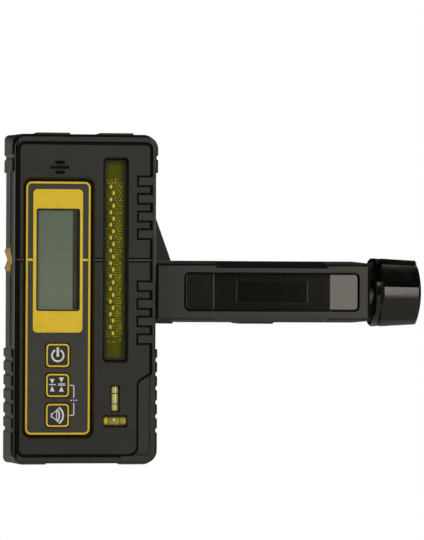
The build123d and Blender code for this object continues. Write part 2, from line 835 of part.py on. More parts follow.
def make_battery_door():
    low = bay_bottom_z - bay_wall + door_gap
    body = box(case_x - door_half, case_x + door_half, door_y, case_back_y, low, door_top_z)
    knuckle_start = hinge_middle / 2 + door_gap
    for side in (-1, 1):
        x0 = case_x + side * knuckle_start
        x1 = case_x + side * (knuckle_start + hinge_knuckle)
        body += rod_x(hinge_diameter, min(x0, x1), max(x0, x1), hinge_y, hinge_z)
        body += box(min(x0, x1), max(x0, x1), hinge_y, case_back_y - hinge_inset, hinge_z, low)
    body -= rod_x(hinge_pin_diameter + 2 * shaft_gap, case_x - door_half, case_x + door_half, hinge_y, hinge_z)
    body -= rod_y(pull_notch, case_back_y - door_thick / 2, case_back_y, case_x, door_top_z)
    for step in range(grip_count):
        z = door_top_z - pull_notch - step * grip_pitch
        body -= box(case_x - grip_length / 2, case_x + grip_length / 2, case_back_y - grip_depth, case_back_y,
                    z - grip_width, z)
    return body


def make_hinge_pin():
    half = hinge_pin_length / 2
    return rod_x(hinge_pin_diameter, case_x - half, case_x + half, hinge_y, hinge_z)


def cell_places():
    return [(case_x + side * (cell_diameter + cell_gap) / 2, side) for side in (-1, 1)]


def make_battery_cells():
    cells = []
    low = bay_bottom_z + contact_thick + fit_gap
    for x, side in cell_places():
        base = low if side < 0 else low + cell_cap_height
        cap = base + cell_length if side < 0 else low
        cell = rod_z(cell_diameter, base, base + cell_length, x, cell_y)
        cells.append(cell + rod_z(cell_cap_diameter, cap, cap + cell_cap_height, x, cell_y))
    return Compound(children=cells)


def make_battery_contacts():
    plates = []
    half = contact_width / 2
    reach = contact_height / 2
    for x, side in cell_places():
        for z in (bay_bottom_z, bay_top_z - contact_thick):
            plates.append(box(x - half, x + half, cell_y - reach, cell_y + reach, z, z + contact_thick))
    return Compound(children=plates)


def make_mount_insert():
    body = rod_y(mount_insert_diameter, case_back_y - mount_insert_length, case_back_y, case_x, mount_z)
    return body - rod_y(mount_thread + 2 * shaft_gap, case_back_y - mount_insert_length, case_back_y, case_x, mount_z)


def make_clamp_arm():
    plane = Plane(((arm_left_x + arm_right_x) / 2, 0, 0), x_dir=(1, 0, 0), z_dir=(0, -1, 0))
    taper = math.degrees(math.atan2(arm_draft, arm_depth))
    body = extrude(plane * Rectangle(arm_right_x - arm_left_x, 2 * arm_half), amount=arm_depth, taper=taper)
    front = body.faces().sort_by(Axis.Y)[0].edges()
    body = chamfer(front, arm_edge)
    body += bracket_plate()
    # The knob's end draws in a little at top and bottom.
    for side in (-1, 1):
        points = [
            (arm_right_x - arm_end_run, 0, side * arm_half),
            (arm_right_x, 0, side * (arm_half - arm_end_drop)),
            (arm_right_x, 0, side * 2 * arm_half),
            (arm_right_x - arm_end_run, 0, side * 2 * arm_half),
        ]
        body -= extrude(make_face(Polyline(*points, close=True)), amount=arm_depth, both=True)
    # Wide shallow scoops along the middle of the top and bottom edges.
    for side in (-1, 1):
        points = [
            (arm_front_y, side * scoop_half),
            (arm_front_y, side * 2 * arm_half),
            (arm_front_y + scoop_reach, side * 2 * arm_half),
            (arm_front_y + scoop_reach, side * arm_half),
        ]
        wedge = Plane.YZ.offset(scoop_left_x) * make_face(Polyline(*points, close=True))
        body -= extrude(wedge, amount=scoop_right_x - scoop_left_x)
    body -= front_pocket()
    body += box(pocket_pad_left, pocket_pad_right, pocket_floor_y - pocket_pad_rise, pocket_floor_y,
                -pocket_pad_half, pocket_pad_half)
    body -= box(channel_left_x, arm_right_x, channel_front_y, channel_back_y, -channel_half, channel_half)
    body -= box(channel_left_x, arm_right_x, channel_back_y, 0, -slot_half, slot_half)
    body -= rod_x(bush_diameter, channel_left_x - journal_length, channel_left_x, screw_y, 0)
    # The seat between the jaws stands a little proud of the rest of the back.
    seat = jaw_face_x - seat_margin
    for x0, x1 in ((arm_left_x, -seat), (seat, arm_right_x)):
        body -= box(x0, x1, arm_back_y, 0, -arm_half, arm_half)
    # Fixed jaw at the receiver's end.
    face = -jaw_face_x - jaw_pad_thick + jaw_pad_inset
    jaw = box(face - fixed_jaw_thick, face, -arm_edge, jaw_reach, -jaw_half - jaw_drop, jaw_half - jaw_drop)
    body += chamfer(jaw.faces().sort_by(Axis.Y)[-1].edges(), jaw_edge)
    body -= box(-jaw_face_x - jaw_pad_thick, face, jaw_pad_front, jaw_reach - jaw_pad_back,
                -jaw_pad_half, jaw_pad_half)
    body -= rod_y(mount_pitch_hole, case_back_y, bracket_y, case_x, mount_z)
    for side in (-1, 1):
        body += rod_y(peg_diameter, case_back_y - peg_length, case_back_y, case_x + side * peg_dx, mount_z)
    return body


def bracket_plate():
    """Plate behind the receiver, with its gusset down to the arm and two ribs."""
    left = case_x - bracket_left
    right = gusset_foot_x
    top = arm_half + bracket_rise
    top_x = gusset_foot_x - bracket_rise * gusset_run
    low = bracket_low_z
    points = [(right, low), (right, arm_half), (top_x, top), (left, top), (left, low)]
    radii = [0, 0, bracket_radius, bracket_radius, bracket_radius]
    plate = outline_slab(make_face(FilletPolyline(*points, radius=radii, close=True)), case_back_y, bracket_y)
    plate = chamfer(plate.faces().sort_by(Axis.Y)[-1].edges(), bracket_edge)
    for z in (low + bracket_rib, arm_half - 2 * bracket_rib):
        inner = case_x + mount_knob_diameter / 2 + bracket_rib
        plate += box(inner, right, bracket_y, bracket_y + bracket_rib_depth, z, z + bracket_rib)
    return plate


def front_pocket():
    """Long recess in the front of the arm: a flat floor with a ramp up at each end."""
    points = [
        (pocket_left_x, arm_front_y),
        (pocket_left_x + pocket_left_ramp, pocket_floor_y),
        (pocket_right_x - pocket_right_ramp, pocket_floor_y),
        (pocket_right_x, arm_front_y),
    ]
    wedge = extrude(make_face(Polyline(*points, close=True)), amount=pocket_half, both=True)
    middle = (pocket_left_x + pocket_right_x) / 2
    width = pocket_right_x - pocket_left_x
    height = 2 * pocket_half
    recess = wedge & slab(width, height, pocket_radius, arm_front_y, pocket_floor_y, middle, 0)
    # A narrow gap, a little deeper than the floor, runs round inside the edge of the recess.
    gap_y = pocket_floor_y + pocket_gap_drop
    gap = slab(width, height, pocket_radius, arm_front_y, gap_y, middle, 0)
    gap -= slab(width - 2 * pocket_gap, height - 2 * pocket_gap, pocket_radius - pocket_gap, arm_front_y, gap_y,
                middle, 0)
    return recess + gap


def make_end_plug():
    """Plug that closes the arm's channel and carries the screw at the knob's end."""
    body = box(plug_left_x, arm_right_x, channel_front_y, channel_back_y, -channel_half, channel_half)
    body += box(plug_left_x, arm_right_x, channel_back_y, arm_back_y, -slot_half, slot_half)
    return body - rod_x(bush_diameter, plug_left_x, arm_right_x, screw_y, 0)


def make_screw_bushes():
    bore = journal_diameter + 2 * shaft_gap
    bushes = []
    for x0, x1 in ((channel_left_x - journal_length, channel_left_x), (plug_left_x, arm_right_x)):
        bushes.append(rod_x(bush_diameter, x0, x1, screw_y, 0) - rod_x(bore, x0, x1, screw_y, 0))
    return Compound(children=bushes)


def make_lead_screw():
    left = channel_left_x + slide_gap
    body = rod_x(screw_diameter, left, shoulder_x, screw_y, 0)
    body += rod_x(journal_diameter, channel_left_x - journal_length + slide_gap, left, screw_y, 0)
    return body + rod_x(journal_diameter, shoulder_x, knob_left_x + knob_length - knob_bore_end, screw_y, 0)


def make_thrust_washers():
    bore = journal_diameter + 2 * shaft_gap
    washers = []
    for x0, x1 in ((shoulder_x, shoulder_x + washer_thick), (knob_left_x - washer_thick, knob_left_x)):
        washers.append(rod_x(washer_diameter, x0, x1, screw_y, 0) - rod_x(bore, x0, x1, screw_y, 0))
    return Compound(children=washers)


def make_clamp_knob():
    """Turned knob with a lip, a neck and a domed end, and wide flutes between its ribs."""
    lip_x = knob_left_x + knob_lip
    body_x = lip_x + knob_neck
    rib_x = body_x + knob_shoulder_edge
    end_x = knob_left_x + knob_length
    dome_x = end_x - knob_dome
    dome_radius = knob_end_radius - knob_end_edge
    profile = Polyline(
        (knob_left_x, 0),
        (knob_left_x, knob_lip_radius - knob_lip_edge),
        (knob_left_x + knob_lip_edge, knob_lip_radius),
        (lip_x - knob_lip_edge, knob_lip_radius),
        (lip_x, knob_lip_radius - knob_lip_edge),
        (lip_x, knob_neck_radius),
        (body_x, knob_neck_radius),
        (body_x, knob_radius - knob_shoulder_edge),
        (rib_x, knob_radius),
        (dome_x - knob_end_edge, knob_end_radius),
        (dome_x, dome_radius),
    )
    sphere = (dome_radius ** 2 + knob_dome ** 2) / (2 * knob_dome)
    crown_x = end_x - sphere + math.sqrt(sphere ** 2 - (dome_radius / 2) ** 2)
    dome = ThreePointArc((dome_x, dome_radius), (crown_x, dome_radius / 2), (end_x, 0))
    body = revolve(make_face([profile, dome, Line((end_x, 0), (knob_left_x, 0))]), Axis.X)
    # The flutes lean in with the taper of the ribs.
    fall = knob_radius - knob_end_radius
    lean = math.degrees(math.atan2(fall, dome_x - rib_x))
    reach = (knob_radius + knob_end_radius) / 2 - knob_flute_depth + knob_flute_radius
    flute = Pos((rib_x + dome_x) / 2, 0, reach) * Rot(0, 90 + lean, 0) * Cylinder(knob_flute_radius, 2 * knob_length)
    flute &= box(body_x - knob_neck / 2, end_x, -knob_radius, knob_radius, 0, knob_radius)
    for step in range(knob_ribs):
        body -= Rot(360 / knob_ribs * step, 0, 0) * flute
    body -= rod_x(journal_diameter, knob_left_x, end_x - knob_bore_end, 0, 0)
    return Pos(0, screw_y, 0) * body


def make_sliding_jaw():
    """Jaw behind the arm, with a neck through the slot and a slider on the screw."""
    face = jaw_face_x + jaw_pad_thick - jaw_pad_inset
    back = face + sliding_jaw_length
    points = [
        (face, slide_gap),
        (face, jaw_reach),
        (face + jaw_tip, jaw_reach),
        (back, jaw_slope_start),
        (back, slide_gap),
    ]
    body = Pos(0, 0, -jaw_drop) * extrude(make_face(Polyline(*points, close=True)), amount=jaw_half, both=True)
    levels = body.edges().group_by(Axis.Z)
    body = chamfer(levels[0] + levels[-1], jaw_edge)
    body += box(face, back, channel_front_y + slide_gap, channel_back_y - slide_gap,
                -channel_half + slide_gap, channel_half - slide_gap)
    body += box(face, back, channel_back_y - slide_gap, slide_gap, -slot_half + slide_gap, slot_half - slide_gap)
    middle = (face + back) / 2
    body -= rod_x(nut_diameter, middle - nut_length / 2, middle + nut_length / 2, screw_y, 0)
    body -= rod_x(screw_diameter + 2 * slide_gap, face, back, screw_y, 0)
    body -= box(face, jaw_face_x + jaw_pad_thick, jaw_pad_front, jaw_reach - jaw_pad_back,
                -jaw_pad_half, jaw_pad_half)
    return body


def make_jaw_nut():
    middle = jaw_face_x + jaw_pad_thick - jaw_pad_inset + sliding_jaw_length / 2
    x0 = middle - nut_length / 2
    x1 = middle + nut_length / 2
    return rod_x(nut_diameter, x0, x1, screw_y, 0) - rod_x(screw_diameter + 2 * shaft_gap, x0, x1, screw_y, 0)


def make_jaw_pad(x0):
    return box(x0, x0 + jaw_pad_thick, jaw_pad_front, jaw_reach - jaw_pad_back, -jaw_pad_half, jaw_pad_half)


def make_mount_screw():
    tip = case_back_y - mount_insert_length + mount_tip
    end = bracket_y + mount_washer_thick + mount_knob_thick - mount_stud_end
    return rod_y(mount_thread, tip, end, case_x, mount_z)


def make_mount_washer():
    back = bracket_y + mount_washer_thick
    body = rod_y(mount_washer_diameter, bracket_y, back, case_x, mount_z)
    return body - rod_y(mount_thread + 2 * shaft_gap, bracket_y, back, case_x, mount_z)


def make_mount_knob():
    """Lobed thumb knob on the mount screw."""
    start = bracket_y + mount_washer_thick
    end = start + mount_knob_thick
    body = rod_y(mount_knob_diameter, start, end, case_x, mount_z)
    body = chamfer(body.edges().filter_by(GeomType.CIRCLE), knob_edge)
    for step in range(mount_knob_lobes):
        angle = math.radians(360 / mount_knob_lobes * step)
        reach = mount_knob_diameter / 2 + mount_knob_scallop / 2
        body -= rod_y(2 * mount_knob_scallop, start, end, case_x + reach * math.cos(angle),
                      mount_z + reach * math.sin(angle))
    return body - rod_y(mount_thread, start, end - mount_stud_end, case_x, mount_z)


def main():
    pieces = {
        "front_housing": make_front_housing(),
        "rear_housing": make_rear_housing(),
        "housing_seal": seal_ring(),
        "housing_screws": make_housing_screws(),
        "bumper": make_bumper(),
        "grade_mark": make_grade_mark(),
        "keypad_overlay": make_keypad_overlay(),
        "display_window": make_display_window(),
        "display_glass": display_slab(tub_back_y, tub_back_y + glass_thick),
        "display_backlight": display_slab(tub_back_y + glass_thick, board_y),
        "button_power": make_key(key_places[0]),
        "button_sensitivity": make_key(key_places[1]),
        "button_sound": make_key(key_places[2]),
        "key_switches": make_key_switches(),
        "main_board": make_main_board(),
        "board_screws": make_board_screws(),
        "control_chip": make_control_chip(),
        "buzzer": make_buzzer(),
        "sensor_window": make_sensor_window(),
        "sensor_board": make_sensor_board(),
        "photodiodes": make_photodiodes(),
        "board_connector": make_board_connector(),
        "plumb_vial": make_plumb_vial(),
        "level_vial": make_level_vial(),
        "vial_fluid": make_vial_fluid(),
        "vial_retainer": make_vial_retainer(),
        "battery_door": make_battery_door(),
        "door_hinge_pin": make_hinge_pin(),
        "battery_cells": make_battery_cells(),
        "battery_contacts": make_battery_contacts(),
        "mount_insert": make_mount_insert(),
        "clamp_arm": make_clamp_arm(),
        "end_plug": make_end_plug(),
        "screw_bushes": make_screw_bushes(),
        "lead_screw": make_lead_screw(),
        "thrust_washers": make_thrust_washers(),
        "clamp_knob": make_clamp_knob(),
        "sliding_jaw": make_sliding_jaw(),
        "jaw_nut": make_jaw_nut(),
        "fixed_jaw_pad": make_jaw_pad(-jaw_face_x - jaw_pad_thick),
        "sliding_jaw_pad": make_jaw_pad(jaw_face_x),
        "mount_screw": make_mount_screw(),
        "mount_washer": make_mount_washer(),
        "mount_knob": make_mount_knob(),
    }
    os.makedirs("parts", exist_ok=True)
    for name, shape in pieces.items():
        export_step(shape, os.path.join("parts", name + ".step"))


main()
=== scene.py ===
import bpy
import math
import numpy as np
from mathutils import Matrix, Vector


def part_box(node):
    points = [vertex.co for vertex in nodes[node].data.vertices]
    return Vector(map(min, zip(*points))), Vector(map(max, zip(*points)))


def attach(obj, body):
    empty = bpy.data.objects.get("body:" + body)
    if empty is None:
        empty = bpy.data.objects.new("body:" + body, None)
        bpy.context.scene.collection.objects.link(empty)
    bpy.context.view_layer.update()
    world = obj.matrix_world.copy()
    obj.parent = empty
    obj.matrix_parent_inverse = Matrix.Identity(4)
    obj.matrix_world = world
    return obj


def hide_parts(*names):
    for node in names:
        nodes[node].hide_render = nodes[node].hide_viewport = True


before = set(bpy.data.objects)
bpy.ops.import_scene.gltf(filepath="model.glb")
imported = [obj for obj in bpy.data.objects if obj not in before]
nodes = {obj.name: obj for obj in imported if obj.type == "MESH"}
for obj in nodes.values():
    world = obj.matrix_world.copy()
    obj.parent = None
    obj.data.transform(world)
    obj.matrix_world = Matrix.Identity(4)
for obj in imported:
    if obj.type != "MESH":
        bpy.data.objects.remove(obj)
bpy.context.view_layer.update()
scene = bpy.context.scene
mm = 0.001
print("frame loaded:", len(nodes), "nodes")

# camera: a long lens from the front, a little to the left
camera = bpy.data.objects.new("camera", bpy.data.cameras.new("camera"))
camera.data.lens = 266.67
camera.data.sensor_width = 36.0
camera.data.clip_start, camera.data.clip_end = 0.05, 20.0
camera.location = (-0.28165, -1.90703, 0.01038)
camera.rotation_euler = (math.pi / 2, -0.005, math.radians(-8.5))
scene.collection.objects.link(camera)
scene.camera = camera
scene.view_settings.view_transform = "Standard"


# One node with its settings; an input is given a value or the socket that feeds it
def addNode(tree, kind, settings=None, inputs=None):
    node = tree.nodes.new(kind)
    for key, value in (settings or {}).items():
        setattr(node, key, value)
    for key, value in (inputs or {}).items():
        if isinstance(value, bpy.types.NodeSocket):
            tree.links.new(value, node.inputs[key])
        else:
            node.inputs[key].default_value = value
    return node


# sRGB hex to linear: the toe is divided by 12.92, the rest is raised to 2.4
def linearColour(hexColour):
    srgb = np.array([int(hexColour[i:i + 2], 16) / 255 for i in (1, 3, 5)])
    linear = np.where(srgb <= 0.04045, srgb / 12.92, ((srgb + 0.055) / 1.055) ** 2.4)
    return (*linear.tolist(), 1.0)


# Common nodes, each handing back its output
def mathOf(tree, operation, *values):
    return addNode(tree, "ShaderNodeMath", {"operation": operation}, dict(enumerate(values))).outputs[0]


# The value's way from start to stop becomes the way from low to high, held beyond the ends
def rangeOf(tree, value, start, stop, low=0.0, high=1.0):
    ends = {"From Min": start, "From Max": stop, "To Min": low, "To Max": high}
    return addNode(tree, "ShaderNodeMapRange", None, {"Value": value, **ends}).outputs["Result"]


def mixValue(tree, share, first, second):
    return addNode(tree, "ShaderNodeMix", {"data_type": "FLOAT"}, {0: share, 2: first, 3: second}).outputs[0]


# Each colour is a hex string or a socket
def mixColour(tree, share, first, second):
    first, second = (linearColour(tint) if isinstance(tint, str) else tint for tint in (first, second))
    return addNode(tree, "ShaderNodeMix", {"data_type": "RGBA"}, {0: share, 6: first, 7: second}).outputs[2]


def noiseOf(tree, place, scale, detail=2.0, roughness=0.5):
    inputs = {"Vector": place, "Scale": scale, "Detail": detail, "Roughness": roughness}
    return addNode(tree, "ShaderNodeTexNoise", None, inputs).outputs["Fac"]


# Places counted in the given millimetres along each axis
def stretchOf(tree, place, sizesMm, rotation=(0.0, 0.0, 0.0)):
    scale = [1 / (size * mm) for size in sizesMm]
    inputs = {"Vector": place, "Rotation": rotation, "Scale": scale}
    return addNode(tree, "ShaderNodeMapping", None, inputs).outputs["Vector"]


def placeOf(tree):
    return addNode(tree, "ShaderNodeTexCoord").outputs["Object"]


# The normal as if every edge were rounded
def edgeOf(tree, radiusMm):
    return addNode(tree, "ShaderNodeBevel", {"samples": 6}, {"Radius": radiusMm * mm}).outputs["Normal"]


def reliefOf(tree, height, strength, depthMm, normal):
    inputs = {"Strength": strength, "Distance": depthMm * mm, "Height": height, "Normal": normal}
    return addNode(tree, "ShaderNodeBump", None, inputs).outputs["Normal"]


# Roughness that swings either way with a pattern
def roughOf(tree, pattern, look):
    low, high = look["rough"] - look["uneven"], look["rough"] + look["uneven"]
    return rangeOf(tree, pattern, *look["roughSpan"], low, high)


def startFinish(name):
    material = bpy.data.materials.new(name)
    material.use_nodes = True
    material.node_tree.nodes.clear()
    return material, material.node_tree


def closeFinish(material, tree, inputs):
    shader = addNode(tree, "ShaderNodeBsdfPrincipled", None, inputs)
    addNode(tree, "ShaderNodeOutputMaterial", None, {"Surface": shader.outputs[0]})
    return material


# finishes
# What each kind of finish takes where its own look says nothing else.
# A span is the part of a pattern, or of an edge's turn, over which the effect grows from nothing to full.
mouldedLook = {"grainMm": 0.4, "relief": 0.2, "reliefMm": 0.02, "edgeMm": 0.1, "wear": 0.2,
               "dust": 0.1, "dustGrains": 3.4, "uneven": 0.05, "ior": 1.5, "specular": 0.5, "sheen": 0.0,
               "mottleSpan": (0.34, 0.66), "dustSpan": (0.56, 0.78), "wearSpan": (0.985, 0.80),
               "roughSpan": (0.3, 0.7), "bands": None, "lattice": None, "patches": ()}
metalLook = {"cloudMm": 2.5, "uneven": 0.08, "roughSpan": (0.3, 0.7), "edgeMm": 0.12,
             "markStrength": 0.25, "markDepthMm": 0.03}
clearLook = {"wipeMm": (0.5, 3.0, 6.0), "wipeTurn": (0.0, 0.6, 0.0), "wipe": 0.1, "wipeSpan": (0.4, 0.75),
             "cloudMm": 4.0, "edgeMm": 0.2, "specular": 0.5}


# Moulded plastic or rubber: a slow mottle in the colour and the gloss, a fine grain from the tool's spark
# texture, pale specks of dust, and softly rounded edges that catch light and are rubbed paler
def mouldedFinish(name, look):
    look = {**mouldedLook, **look}
    material, tree = startFinish(name)
    place = placeOf(tree)
    axes = addNode(tree, "ShaderNodeSeparateXYZ", None, {0: place}).outputs
    mottle = noiseOf(tree, place, 1 / (look["mottleMm"] * mm), detail=4.0, roughness=0.6)
    grain = noiseOf(tree, place, 1 / (look["grainMm"] * mm), detail=2.0, roughness=0.55)
    dust = noiseOf(tree, place, 1 / (look["dustGrains"] * look["grainMm"] * mm), detail=3.0, roughness=0.7)
    edge = edgeOf(tree, look["edgeMm"])
    face = addNode(tree, "ShaderNodeNewGeometry").outputs["Normal"]
    turned = addNode(tree, "ShaderNodeVectorMath", {"operation": "DOT_PRODUCT"}, {0: edge, 1: face})
    worn = rangeOf(tree, turned.outputs["Value"], *look["wearSpan"], high=look["wear"])
    specks = rangeOf(tree, dust, *look["dustSpan"], high=look["dust"])
    colour = mixColour(tree, rangeOf(tree, mottle, *look["mottleSpan"]), look["dark"], look["light"])
    colour = mixColour(tree, specks, colour, look["rubbed"])
    colour = mixColour(tree, worn, colour, look["rubbed"])
    rough = roughOf(tree, mottle, look)
    bands = look["bands"]
    if bands:    # the colour changes along one axis, stop by stop
        share = rangeOf(tree, axes[bands["axis"]], bands["low"] * mm, bands["high"] * mm)
        ramp = addNode(tree, "ShaderNodeValToRGB", None, {"Fac": share})
        stops = ramp.color_ramp.elements
        for spot, tint in bands["stops"]:
            stop = stops[0] if spot == 0.0 else stops[-1] if spot == 1.0 else stops.new(spot)
            stop.color = linearColour(tint)
        colour = mixColour(tree, bands["share"], colour, ramp.outputs["Color"])
    lattice = look["lattice"]
    if lattice:    # rows of pads with bare lines between them, laid out in x and z, up to a height either way
        upright = stretchOf(tree, place, (1.0, 1.0, 1.0), (-math.pi / 2, 0.0, 0.0))
        pads = addNode(tree, "ShaderNodeTexBrick", None, {
            "Vector": upright, "Scale": 1.0, "Mortar Size": lattice["lineMm"] / 2, "Mortar Smooth": 0.2,
            "Brick Width": lattice["cellMm"][0], "Row Height": lattice["cellMm"][1],
            "Color1": linearColour(lattice["pads"][0]), "Color2": linearColour(lattice["pads"][1]),
            "Mortar": linearColour(lattice["lines"])})
        covered = mathOf(tree, "COMPARE", axes["Z"], lattice["middleMm"] * mm, lattice["reachMm"] * mm)
        colour = mixColour(tree, covered, colour, pads.outputs["Color"])
    # Faces inside a box, given by two corners, take another roughness and colour; the finishes use these
    # boxes for polished parts and for painted shade and highlight
    for lowest, highest, patchRough, patchColour in look["patches"]:
        sides = [mathOf(tree, "COMPARE", axis, (low + high) / 2 * mm, (high - low) / 2 * mm)
                 for axis, low, high in zip(axes, lowest, highest)]
        inside = mathOf(tree, "MULTIPLY", mathOf(tree, "MULTIPLY", sides[0], sides[1]), sides[2])
        rough = mixValue(tree, inside, rough, patchRough)
        colour = mixColour(tree, inside, colour, patchColour)
    relief = reliefOf(tree, grain, look["relief"], look["reliefMm"], edge)
    return closeFinish(material, tree, {
        "Base Color": colour, "Roughness": rough, "IOR": look["ior"], "Specular IOR Level": look["specular"],
        "Sheen Weight": look["sheen"], "Normal": relief})


# Plated or turned metal: tool marks along one axis in the roughness and relief, dulled in cloudy patches
def metalFinish(name, look):
    look = {**metalLook, **look}
    material, tree = startFinish(name)
    place = placeOf(tree)
    marks = noiseOf(tree, stretchOf(tree, place, look["markMm"]), 1.0, detail=3.0, roughness=0.6)
    cloud = noiseOf(tree, place, 1 / (look["cloudMm"] * mm), detail=4.0)
    relief = reliefOf(tree, marks, look["markStrength"], look["markDepthMm"], edgeOf(tree, look["edgeMm"]))
    return closeFinish(material, tree, {
        "Base Color": mixColour(tree, cloud, look["dull"], look["bright"]), "Metallic": 1.0,
        "Roughness": roughOf(tree, marks, look), "Normal": relief})


# Clear or tinted plastic: mostly see-through, its skin glossy with faint wipe marks
def clearFinish(name, look):
    look = {**clearLook, **look}
    material, tree = startFinish(name)
    place = placeOf(tree)
    marks = noiseOf(tree, stretchOf(tree, place, look["wipeMm"], look["wipeTurn"]), 1.0, detail=3.0)
    cloud = noiseOf(tree, place, 1 / (look["cloudMm"] * mm), detail=2.0)
    rough = rangeOf(tree, marks, *look["wipeSpan"], look["rough"], look["rough"] + look["wipe"])
    return closeFinish(material, tree, {
        "Base Color": mixColour(tree, cloud, look["deep"], look["pale"]), "Roughness": rough,
        "IOR": look["ior"], "Alpha": look["alpha"], "Specular IOR Level": look["specular"],
        "Normal": edgeOf(tree, look["edgeMm"])})


# PC-ABS, injection moulded with a fine spark texture: a warm near-black with a dry, even sheen.
# The raised grade line is a paler grey.
# The real grain is about 0.15 mm; it is drawn at 0.5 mm so that it shows.
casePlastic = mouldedFinish("moulded PC-ABS, spark textured", {
    "dark": "#0c0b09", "light": "#11100d", "rubbed": "#2c2a24",
    "mottleMm": 9.0, "grainMm": 0.5, "relief": 0.35, "reliefMm": 0.05, "edgeMm": 0.6,
    "rough": 0.47, "specular": 0.41,
    "patches": [
        ((-96.0, -51.1, 14.45), (-33.6, -50.5, 15.15), 0.45, "#413f3a")]})
# TPE over-moulding: softer and duller than the case, greyed where hands rub it. Grain drawn at 0.6 mm.
# Its narrow left edge is smooth and painted black as shade, blackest beside the top block and the lower ribs.
bumperRubber = mouldedFinish("over-moulded TPE rubber", {
    "dark": "#0b0a08", "light": "#100f0c", "rubbed": "#2b2923",
    "mottleMm": 7.0, "grainMm": 0.6, "relief": 0.4, "reliefMm": 0.06, "edgeMm": 0.5,
    "rough": 0.45, "ior": 1.48, "wear": 0.3, "dust": 0.12,
    "patches": [
        ((-97.7, -51.1, -80.0), (-96.8, -49.0, 73.0), 0.15, "#060605"),
        ((-98.0, -51.1, 56.0), (-95.7, -46.5, 72.0), 0.1, "#040403"),
        ((-98.0, -51.1, -79.0), (-95.7, -46.5, -26.5), 0.1, "#040403")]})
# Matt near-black for the painted shade in grooves, gaps and channels: a foam-like skin that swallows the
# light. Cells drawn at 0.5 mm.
shadeFoam = mouldedFinish("matt black foam, painted shade", {
    "dark": "#0e0e0b", "light": "#12110e", "rubbed": "#1b1a16",
    "mottleMm": 3.0, "grainMm": 0.5, "relief": 0.6, "reliefMm": 0.1, "edgeMm": 0.2,
    "rough": 0.85, "ior": 1.4, "wear": 0.1, "specular": 0.1})
# Glass filled nylon: the fibres leave a slightly cloudy, streaky skin. Grain drawn at 0.55 mm.
# The pocket is polished; its ramp at the left and the rim of its pad are painted paler as highlight, and the
# pad darker as painted shade.
# The two scooped edges are smoother and painted blacker than the rest as shade, and the gusset is duller and
# painted darker as shade.
armNylon = mouldedFinish("moulded glass-filled nylon", {
    "dark": "#0d0c0a", "light": "#12110e", "rubbed": "#2b2923",
    "mottleMm": 6.0, "grainMm": 0.55, "relief": 0.38, "reliefMm": 0.05, "edgeMm": 0.4,
    "rough": 0.42, "wear": 0.35, "dust": 0.12,
    "patches": [
        ((-13.6, -23.95, -9.4), (71.4, -15.0, 9.4), 0.12, "#171614"),
        ((-13.6, -23.95, -9.4), (1.45, -15.0, 9.4), 0.12, "#232220"),
        ((12.1, -23.95, -5.5), (47.2, -15.0, 5.5), 0.12, "#201f1d"),
        ((12.55, -23.95, -5.05), (46.75, -15.0, 5.05), 0.12, "#0f0e0c"),
        ((4.0, -23.7, 10.6), (60.0, -0.5, 15.0), 0.3, "#090807"),
        ((4.0, -23.7, -15.0), (60.0, -0.5, -10.6), 0.3, "#090807"),
        ((-29.0, -22.0, 15.0), (-18.0, -2.0, 48.0), 0.6, "#0a0a08")]})
# ABS knobs, moulded satin: blacker, with a broad highlight on each land and a polished shoulder painted
# blacker as shade.
# Grain drawn at 0.4 mm, as in every finish below that names no other.
knobPlastic = mouldedFinish("moulded satin ABS", {
    "dark": "#080706", "light": "#0c0b0a", "rubbed": "#211f1a",
    "mottleMm": 5.0, "relief": 0.25, "reliefMm": 0.04, "edgeMm": 0.2,
    "rough": 0.24, "ior": 1.52, "wear": 0.3, "dust": 0.03, "specular": 0.46,
    "patches": [
        ((77.6, -40.0, -25.0), (82.0, 20.0, 25.0), 0.06, "#040403")]})
# Silicone keys, moulded: matt, a little chalky. Grain drawn at 0.35 mm.
keySilicone = mouldedFinish("moulded silicone rubber", {
    "dark": "#151512", "light": "#1b1b17", "rubbed": "#30302b",
    "mottleMm": 3.5, "grainMm": 0.35, "relief": 0.3, "reliefMm": 0.03, "edgeMm": 0.3,
    "rough": 0.55, "ior": 1.43, "wear": 0.3, "dust": 0.12, "sheen": 0.05})
# Polyester overlay, screen printed from behind: a cool grey under a fine velvet skin
overlayFilm = mouldedFinish("printed polyester film, velvet", {
    "dark": "#171813", "light": "#1c1d17", "rubbed": "#34352c",
    "mottleMm": 8.0, "relief": 0.18, "reliefMm": 0.03,
    "rough": 0.48, "ior": 1.57, "dust": 0.08, "specular": 0.44})
# Nitrile pads in the jaws: dead matt and coarse. Grain drawn at 0.9 mm.
padRubber = mouldedFinish("moulded nitrile rubber", {
    "dark": "#1b1b1a", "light": "#252524", "rubbed": "#403f3c",
    "mottleMm": 4.0, "grainMm": 0.9, "relief": 0.6, "reliefMm": 0.12, "edgeMm": 0.3,
    "rough": 0.7, "wear": 0.4, "dust": 0.25})
# Epoxy moulding compound on chips and the buzzer's case: black, sand textured. It also paints the shade
# beside the diode lenses.
chipEpoxyAndShade = mouldedFinish("moulded black epoxy", {
    "dark": "#1a1a1a", "light": "#222222", "rubbed": "#3a3a3a",
    "mottleMm": 2.5, "grainMm": 0.3, "relief": 0.4, "reliefMm": 0.03,
    "rough": 0.6, "ior": 1.55, "wear": 0.25})
# Acrylic light guide, sanded: white and even
lightGuide = mouldedFinish("sanded white acrylic", {
    "dark": "#dcdcd4", "light": "#e6e6df", "rubbed": "#f0f0ea",
    "mottleMm": 6.0, "reliefMm": 0.03, "rough": 0.5, "ior": 1.49, "dust": 0.05})
# Screen ink on the panel: flat warm yellow, a little uneven at the mesh of the screen
yellowInk = mouldedFinish("screen printed yellow ink", {
    "dark": "#c9aa08", "light": "#d4b50e", "rubbed": "#dcc038",
    "mottleMm": 6.0, "edgeMm": 0.05, "rough": 0.45, "dust": 0.12})
